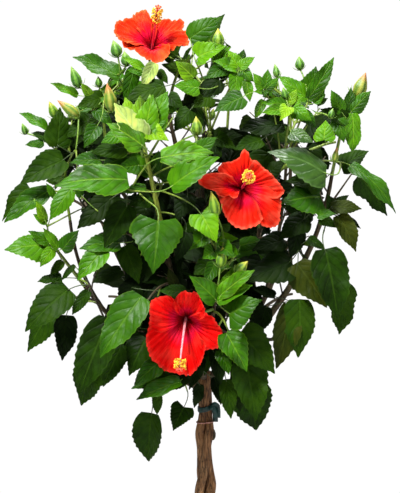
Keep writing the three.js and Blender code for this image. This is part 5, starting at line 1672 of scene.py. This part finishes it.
def foliage(green, brown):
    """All the leaves, and the twigs and stalks that carry them, beside the green and brown shoots."""
    for limb in [limbs[FRONT_SHOOT], *green]:
        hidden.cover(np.array([limb.point(share) for share in np.linspace(0.3, 1, 24)]))
    leaves, twigs = front_leaves()
    green = [limb for limb in green if limb.name in bearers.used] + twigs
    brown = [limb for limb in brown if limb.name in bearers.used]
    for mass in MASSES:
        twigs, finer = grow_twigs(mass)
        leads, lead_twigs = lead_leaves(mass)
        stem = limbs[mass.name]
        shoots = [(stem, STEM_BARE)] + [(twig, TWIG_BARE) for twig in twigs]
        shoots += [(side, SIDE_BARE) for _, side in finer]
        inside = lambda place: in_space(mass, place)
        grown, bearing = grow_leaves(mass.name, shoots, inside, mass.leaf, mass.hang, mass.young)
        leaves += leads + grown
        finer = [row for number, row in enumerate(finer) if number + 1 + len(twigs) in bearing]
        carrying = {index for index, _ in finer}
        twigs = [twig for index, twig in enumerate(twigs) if index + 1 in bearing or index in carrying]
        fitting = green if mass.young > GREEN_STEMS else brown
        if mass.name != FRONT_SHOOT:
            fitting.append(stem)
        fitting.extend([*twigs, *lead_twigs])
        (green if mass.young > GREEN_SIDES else brown).extend(side for _, side in finer)
    for name in BOUGH_NAMES:
        shoots, inside = inner_shoots(name)
        begun = [(shoot, TWIG_BARE) for shoot in shoots]
        grown, bearing = grow_leaves(name, begun, inside, INNER_LEAF, INNER_HANG, INNER_YOUNG)
        leaves += grown
        brown.extend(shoot for number, shoot in enumerate(shoots) if number in bearing)
    return leaves, green, brown


# The darker stalks go to the old leaves' shades and to deep, where they are painted shade.
OLD_AND_SHADED_SHADES = ("deep", "dark", "olive")


def make_foliage(shoots):
    leaves, green, brown = foliage(*shoots)
    names = [mass.name for mass in MASSES]
    for shade in LEAF_COLOURS:
        for group, shows in (("front", True), ("inner", False)):
            chosen = [leaf for leaf in leaves if leaf.shade == shade and leaf.shows == shows]
            if chosen:
                leaves_piece(f"leaves_{shade}_{group}", chosen, shade, names)
    for name, old_or_shaded in (("stalk_green", False), ("stalk_old", True)):
        chosen = [leaf for leaf in leaves if (leaf.shade in OLD_AND_SHADED_SHADES) == old_or_shaded]
        mesh_piece(f"leaf_{name}", petiole_arrays(chosen), (name,), "foliage", names)
    for name, group in (("twigs_green", green), ("twigs_brown", brown), ("twigs_lime", [limbs[FRONT_SHOOT]])):
        mesh_piece(name, limb_arrays(group, 10, 6), (name.replace("twigs", "twig"),), "foliage", names)


# ---- Blooms ----

PETAL_ROWS, PETAL_COLUMNS = 26, 40
PETAL_OVERLAP = 0.3  # how far round, in radians, a petal's foot runs under the next
ANTHERS = 90
STIGMAS = 5
COLUMN_ROOT, COLUMN_END = 0.45, 0.97  # how deep it begins, in radii, and the share of it that is made


def spot(rotation, centre, places):
    """Places in a bloom's own frame, where it faces +Z, put where the bloom is."""
    return places @ rotation.T + centre


def facing(direction):
    """The turn, as a matrix, that points +Z that way."""
    return np.array(Vector(UP).rotation_difference(Vector(direction)).to_matrix())


petal_form = both_sides(PETAL_ROWS, PETAL_COLUMNS, False)


def throat_of(bloom, rotation):
    """The middle of a bloom's throat in its own frame, level with the rims."""
    place = on_plane(COLUMNS[bloom.name].throat, bloom.centre, bloom.faces)
    return ((place - bloom.centre) @ rotation) * (1, 1, 0)


def petal_places(bloom, rotation, lift, rim, draw):
    """One petal in the bloom's frame: a wedge from the throat out to its rim, belled, folded and ruffled."""
    t, v, s = petal_form.places.T
    centre, faces, radius = bloom.centre, bloom.faces, bloom.radius
    middle = centre + faces * lift * radius
    throat = throat_of(bloom, rotation)
    rim = (np.array([on_plane(seen, middle, faces) for seen in rim]) - centre) @ rotation - throat
    steps = np.concatenate(([0], np.cumsum(np.linalg.norm(np.diff(rim, axis=0), axis=1))))
    share = (1 - v) / 2 * steps[-1]
    x, y = np.interp(share, steps, rim[:, 0]), np.interp(share, steps, rim[:, 1])
    swing = PETAL_OVERLAP * v * (1 - t)
    x, y = x * np.cos(swing) - y * np.sin(swing), x * np.sin(swing) + y * np.cos(swing)
    outer = np.clip((t - 0.3) / 0.7, 0, 1) ** 1.4
    phase = [draw() * FULL_TURN for _ in range(5)]
    waves = ((0.05, 5.5, phase[0]), (0.03, 11, phase[1]), (0.014, 23, phase[4]))
    ruffle = sum(depth * np.sin(v * times_across + start) for depth, times_across, start in waves)
    pleat = 0.02 * np.sin(v * 30 + phase[2]) * np.clip(t * 3, 0, 1)
    edge = 0.07 * np.abs(v) ** 2.5 * np.sin(t * 12 + phase[3] + v)
    bell = -0.42 * (1 - t) ** 3 + lift * t ** 2 - 0.09 * t * (1 - t)
    height = bell + 0.07 * v * t * (1 - t) * 2 + (ruffle + edge) * outer + pleat
    ragged = 1 + 0.012 * np.sin(v * 41 + phase[1]) * outer
    inward = t ** 0.92 * ragged
    thick = (0.3 + 0.5 * (1 - t)) * s
    return np.stack([throat[0] + x * inward, throat[1] + y * inward, height * radius + thick], axis=1)


def ball_form(sides, rings):
    bm = bmesh.new()
    bmesh.ops.create_uvsphere(bm, u_segments=sides, v_segments=rings, radius=1)
    return Form(bm)


grain_form = ball_form(8, 5)


def grains(centres, size):
    """Small rounded grains at the centres, as arrays."""
    loops, totals = grain_form.tiled(len(centres))
    places = centres[:, None, :] + grain_form.places[None] * np.array(size).reshape(-1, 1, 1)
    return places.reshape(-1, 3), loops, totals


def bloom_pieces(bloom):
    """Petals, calyx, column, anthers and stigma of a bloom."""
    draw = draws_for(f"{bloom.name} dressing")
    faces, rotation, centre = bloom.faces, facing(bloom.faces), bloom.centre
    t, v, s = petal_form.places.T
    loops, totals = petal_form.tiled(5)
    petals = [spot(rotation, centre, petal_places(bloom, rotation, lift, rim, draw))
              for lift, rim in PETALS[bloom.name]]
    uv = np.tile(np.stack([t, v * 0.5 + 0.5], axis=1), (5, 1))

    def part(suffix, arrays, finish, slot="petal", **wrap):
        mesh_piece(f"{bloom.name}_{suffix}", arrays, (finish,), slot, (bloom.name,), **wrap)

    part("petals", (np.concatenate(petals), loops, totals), f"petal_of_{bloom.name}", uv=uv,
         sharp=np.tile(s == 0, 5))

    column = COLUMNS[bloom.name]
    tip = (on_plane(column.tip, centre + faces * bloom.radius * column.forward, faces) - centre) @ rotation
    throat = throat_of(bloom, rotation)
    foot = throat - UP * COLUMN_ROOT * bloom.radius
    middle = throat * 0.7 + tip * (0.3, 0.3, 0) + UP * 0.3 * bloom.radius
    curve = lambda share: curve_point((foot, middle, tip), share)
    shares = np.linspace(0, COLUMN_END, 26)
    path = spot(rotation, centre, np.array([curve(share) for share in shares]))
    column_part = tube_arrays(path[None], np.interp(shares, (0, 0.5, COLUMN_END), (2.2, 1.5, 1.1))[None], 10)
    colour = "column_pale" if bloom.name == "bloom_low" else "column_rose"
    part("column", column_part, colour)

    paths, ends = [], []
    for index in range(ANTHERS):
        share = blend(column.begin, COLUMN_END, (index + draw()) / ANTHERS)
        root = curve(share)
        along = unit(curve(min(share + 0.02, 1)) - root)
        out = across(along, index * GOLDEN_TURN + draw()) + along * blend(0, 0.5, draw())
        end = root + unit(out) * column.spread * blend(0.55, 1, draw())
        paths.append(spot(rotation, centre, np.linspace(root, end, 4)))
        ends.append(end)
    threads = tube_arrays(np.array(paths), np.full((ANTHERS, 4), 0.28), 5)
    part("filaments", threads, "filament_gold")
    heads = grains(spot(rotation, centre, np.array(ends)), [blend(1.05, 1.55, draw()) for _ in ends])
    part("anthers", heads, "anther_yellow")

    # The stigma: short arms with a pad each.
    top, along = curve(COLUMN_END), unit(curve(1) - curve(0.95))
    arms, pads = [], []
    for index in range(STIGMAS):
        out = across(along, index / STIGMAS * FULL_TURN)
        end = top + along * 4.2 + out * 3.4
        arms.append(spot(rotation, centre, np.linspace(top, end, 4)))
        pads.append(end)
    arm_part = tube_arrays(np.array(arms), np.full((STIGMAS, 4), 0.5), 6)
    pad_part = grains(spot(rotation, centre, np.array(pads)), [1.7] * STIGMAS)
    part("stigma", joined([arm_part, pad_part]), "stigma_red")

    calyx = spot(rotation, centre, calyx_places(bloom.radius))
    part("calyx", (calyx, *calyx_form.tiled(1)), "calyx_green", "foliage", uv=calyx_form.wrap)
    part("stalk", limb_arrays([limbs[bloom.name]], 20, 10), "stalk_green", "foliage")


def round_form(sides, rings):
    """A closed skin along z, from -1 to 1. Its wrap is the share along it, and the turn folded to 0 to 1."""
    form = ball_form(sides, rings)
    form.along = 1 - np.arccos(np.clip(form.places[:, 2], -1, 1)) / math.pi
    form.angle = np.arctan2(form.places[:, 1], form.places[:, 0])
    form.wrap = np.stack([form.along, np.abs(form.angle) / math.pi], axis=1)
    return form


calyx_form = round_form(40, 24)


# The calyx's skin: shares along it, and its height from the bloom or its width there, in the bloom's radii.
CALYX_HEIGHT = (0, 0.15, 0.35, 0.62, 0.8, 1), (-0.7, -0.66, -0.56, -0.46, -0.52, -0.56)
CALYX_WIDTH = (0, 0.08, 0.24, 0.62, 0.8, 1), (0.0, 0.07, 0.14, 0.2, 0.12, 0.0)
CALYX_LOBES = 0.1


def calyx_places(radius):
    """The cup behind a bloom: up its outside to five pointed lobes, and back down its inside."""
    t, angle = calyx_form.along, calyx_form.angle
    lobe = np.abs(np.cos(angle * 2.5)) ** 1.5 * np.exp(-((t - 0.62) / 0.16) ** 2)
    height = np.interp(t, *CALYX_HEIGHT) + CALYX_LOBES * lobe
    out = np.interp(t, *CALYX_WIDTH)
    return np.stack([np.cos(angle) * out, np.sin(angle) * out, height], axis=1) * radius


# ---- Buds ----

BUD_SCALE = 0.78  # a bud's half width in millimetres for each unit of its breadth in the picture
BUD_WIDTH = (0, 0.06, 0.2, 0.42, 0.66, 0.88, 1), (0, 0.5, 0.9, 1.0, 0.68, 0.24, 0)  # along it, and across
BUD_STALK_RADIUS = (1.4, 1.2)
FAR_BUD, FAR_BUD_WIDTH, FAR_STALK_RADIUS = (18, 28), 6, (1.1, 1.2)  # those of the far side, in millimetres
BRACTS, BRACT_RADIUS = 7, (0.7, 0.25)
bud_form = round_form(20, 16)


def bud_places(foot, along, length, width):
    """A pointed bud from its foot: a ribbed cup that narrows to a tip."""
    t, angle = bud_form.along, bud_form.angle
    profile = np.interp(t, *BUD_WIDTH)
    ribbed = profile * (1 + 0.08 * np.cos(angle * 5))
    local = np.stack([np.cos(angle) * ribbed * width, np.sin(angle) * ribbed * width, t * length], axis=1)
    return spot(facing(along), foot, local)


def bud_with_bracts(name, foot, upward, length, width):
    """A bud's skin, and the narrow bracts round its foot."""
    draw, bracts = draws_for(name), []
    for k in range(BRACTS):
        out = across(upward, k / BRACTS * FULL_TURN + draw())
        middle = foot + out * width * 1.05
        end = foot + upward * length * blend(0.24, 0.42, draw()) + out * width * blend(1.3, 1.9, draw())
        bracts.append(Limb("bract", foot - upward * 0.5, middle, end, BRACT_RADIUS))
    return bud_places(foot, upward, length, width), bracts


def make_buds():
    """Flower buds on stalks: those that show from the front, and one or two on masses of the far side."""
    skins, stalks, finer = {"green": [], "yellow": [], "flame": []}, [], []
    for number, row in enumerate(BUDS):
        foot = front_at(row.foot, row.back)
        tip = seen_at(*row.tip, foot[1] - 3)
        upward, length = unit(tip - foot), np.linalg.norm(tip - foot)
        skin, bracts = bud_with_bracts(f"bud {number}", foot, upward, length, row.wide * BUD_SCALE)
        skins[row.finish].append(skin)
        finer.extend(bracts)
        stalks.append(grown_limb(f"bud stalk {number}", foot + upward, upward, BUD_STALK_RADIUS))
    for mass in MASSES:
        if not mass.name.startswith("foliage_back"):
            continue
        twigs, _ = grow_twigs(mass)
        for index, twig in enumerate(twigs[:mass.buds]):
            draw = draws_for(f"{mass.name} bud {index}")
            upward = unit(twig.tangent(1) * 0.6 + UP)
            foot = twig.point(1) + upward * BUD_STALK * blend(0.7, 1, draw())
            length = blend(*FAR_BUD, draw())
            skin, bracts = bud_with_bracts(f"{mass.name} {index}", foot, upward, length, FAR_BUD_WIDTH)
            skins["green" if draw() < 0.6 else "yellow"].append(skin)
            finer.extend(bracts)
            stalks.append(straight("stalk", twig.point(1), foot + upward, FAR_STALK_RADIUS))
    for finish, group in skins.items():
        arrays = (np.concatenate(group), *bud_form.tiled(len(group)))
        wrap = np.tile(bud_form.wrap, (len(group), 1))
        mesh_piece(f"buds_{finish}", arrays, (f"bud_{finish}",), "foliage", uv=wrap)
    mesh_piece("bud_stalks", limb_arrays(stalks, 10, 7), ("stalk_green",), "foliage")
    mesh_piece("bud_bracts", limb_arrays(finer, 5, 5), ("stalk_green",), "foliage")


# ---- Stage ----

FLOOR_RADIUS, FLOOR_MIDDLE = 1.8, -0.9
ROOM_LIGHT, WALL_LIGHT = 0.23, 1.02
WALL_BEGINS, WALL_FULL = 0.82, 0.93  # how far towards +Y a ray heads where the bright wall begins and is full
# Each lamp: its place in metres, its size in metres and its power in watts.
LAMPS = [
    ("key", (-1.3, -1.9, 3.3), 0.9, 235),
    ("fill", (2.4, -2.2, 1.8), 1.8, 36),
    ("top", (0.5, 0.5, 3.4), 1.4, 95),
]


def make_stage():
    bm = bmesh.new()
    bmesh.ops.create_circle(bm, cap_ends=True, segments=96, radius=FLOOR_RADIUS)
    bmesh.ops.translate(bm, verts=bm.verts[:], vec=(0, FLOOR_MIDDLE, 0))
    mesh = bpy.data.meshes.new("floor")
    bm.to_mesh(mesh)
    bm.free()
    mesh.materials.append(materials["floor_pale"])
    linked("floor", mesh)

    # A studio that is white behind the plant and softer all round.
    world = bpy.data.worlds.new("studio")
    world.use_nodes = True
    nodes, links = world.node_tree.nodes, world.node_tree.links
    way = nodes.new("ShaderNodeTexCoord")
    parts = nodes.new("ShaderNodeSeparateXYZ")
    wall = nodes.new("ShaderNodeMapRange")
    for socket, value in zip(("From Min", "From Max", "To Min", "To Max"),
                             (WALL_BEGINS, WALL_FULL, ROOM_LIGHT, WALL_LIGHT)):
        wall.inputs[socket].default_value = value
    links.new(way.outputs["Generated"], parts.inputs[0])
    links.new(parts.outputs["Y"], wall.inputs["Value"])
    background = nodes["Background"]
    background.inputs["Color"].default_value = (1, 1, 1, 1)
    links.new(wall.outputs[0], background.inputs["Strength"])
    bpy.context.scene.world = world
    for name, place, size, power in LAMPS:
        data = bpy.data.lights.new(name, "AREA")
        data.shape = "DISK"
        data.size = size
        data.energy = power
        lamp = linked(name, data)
        lamp.location = place
        lamp.rotation_euler = (Vector(AIM) * METRE - Vector(place)).to_track_quat("-Z", "Y").to_euler()
    bpy.context.scene.view_settings.view_transform = "Standard"

    data = bpy.data.cameras.new("camera")
    data.sensor_width = SENSOR
    data.lens = SENSOR * FOCAL / max(FRAME_SIZE)
    camera = linked("camera", data)
    camera.location = EYE * METRE
    camera.rotation_euler = (-Vector(CAMERA_WAY)).to_track_quat("-Z", "Y").to_euler()
    bpy.context.scene.camera = camera


make_stage()
trunk_piece()
tie_pieces()
boughs_piece()
shoots = make_shoots()
make_buds()
make_foliage(shoots)
for bloom in BLOOMS:
    bloom_pieces(bloom)
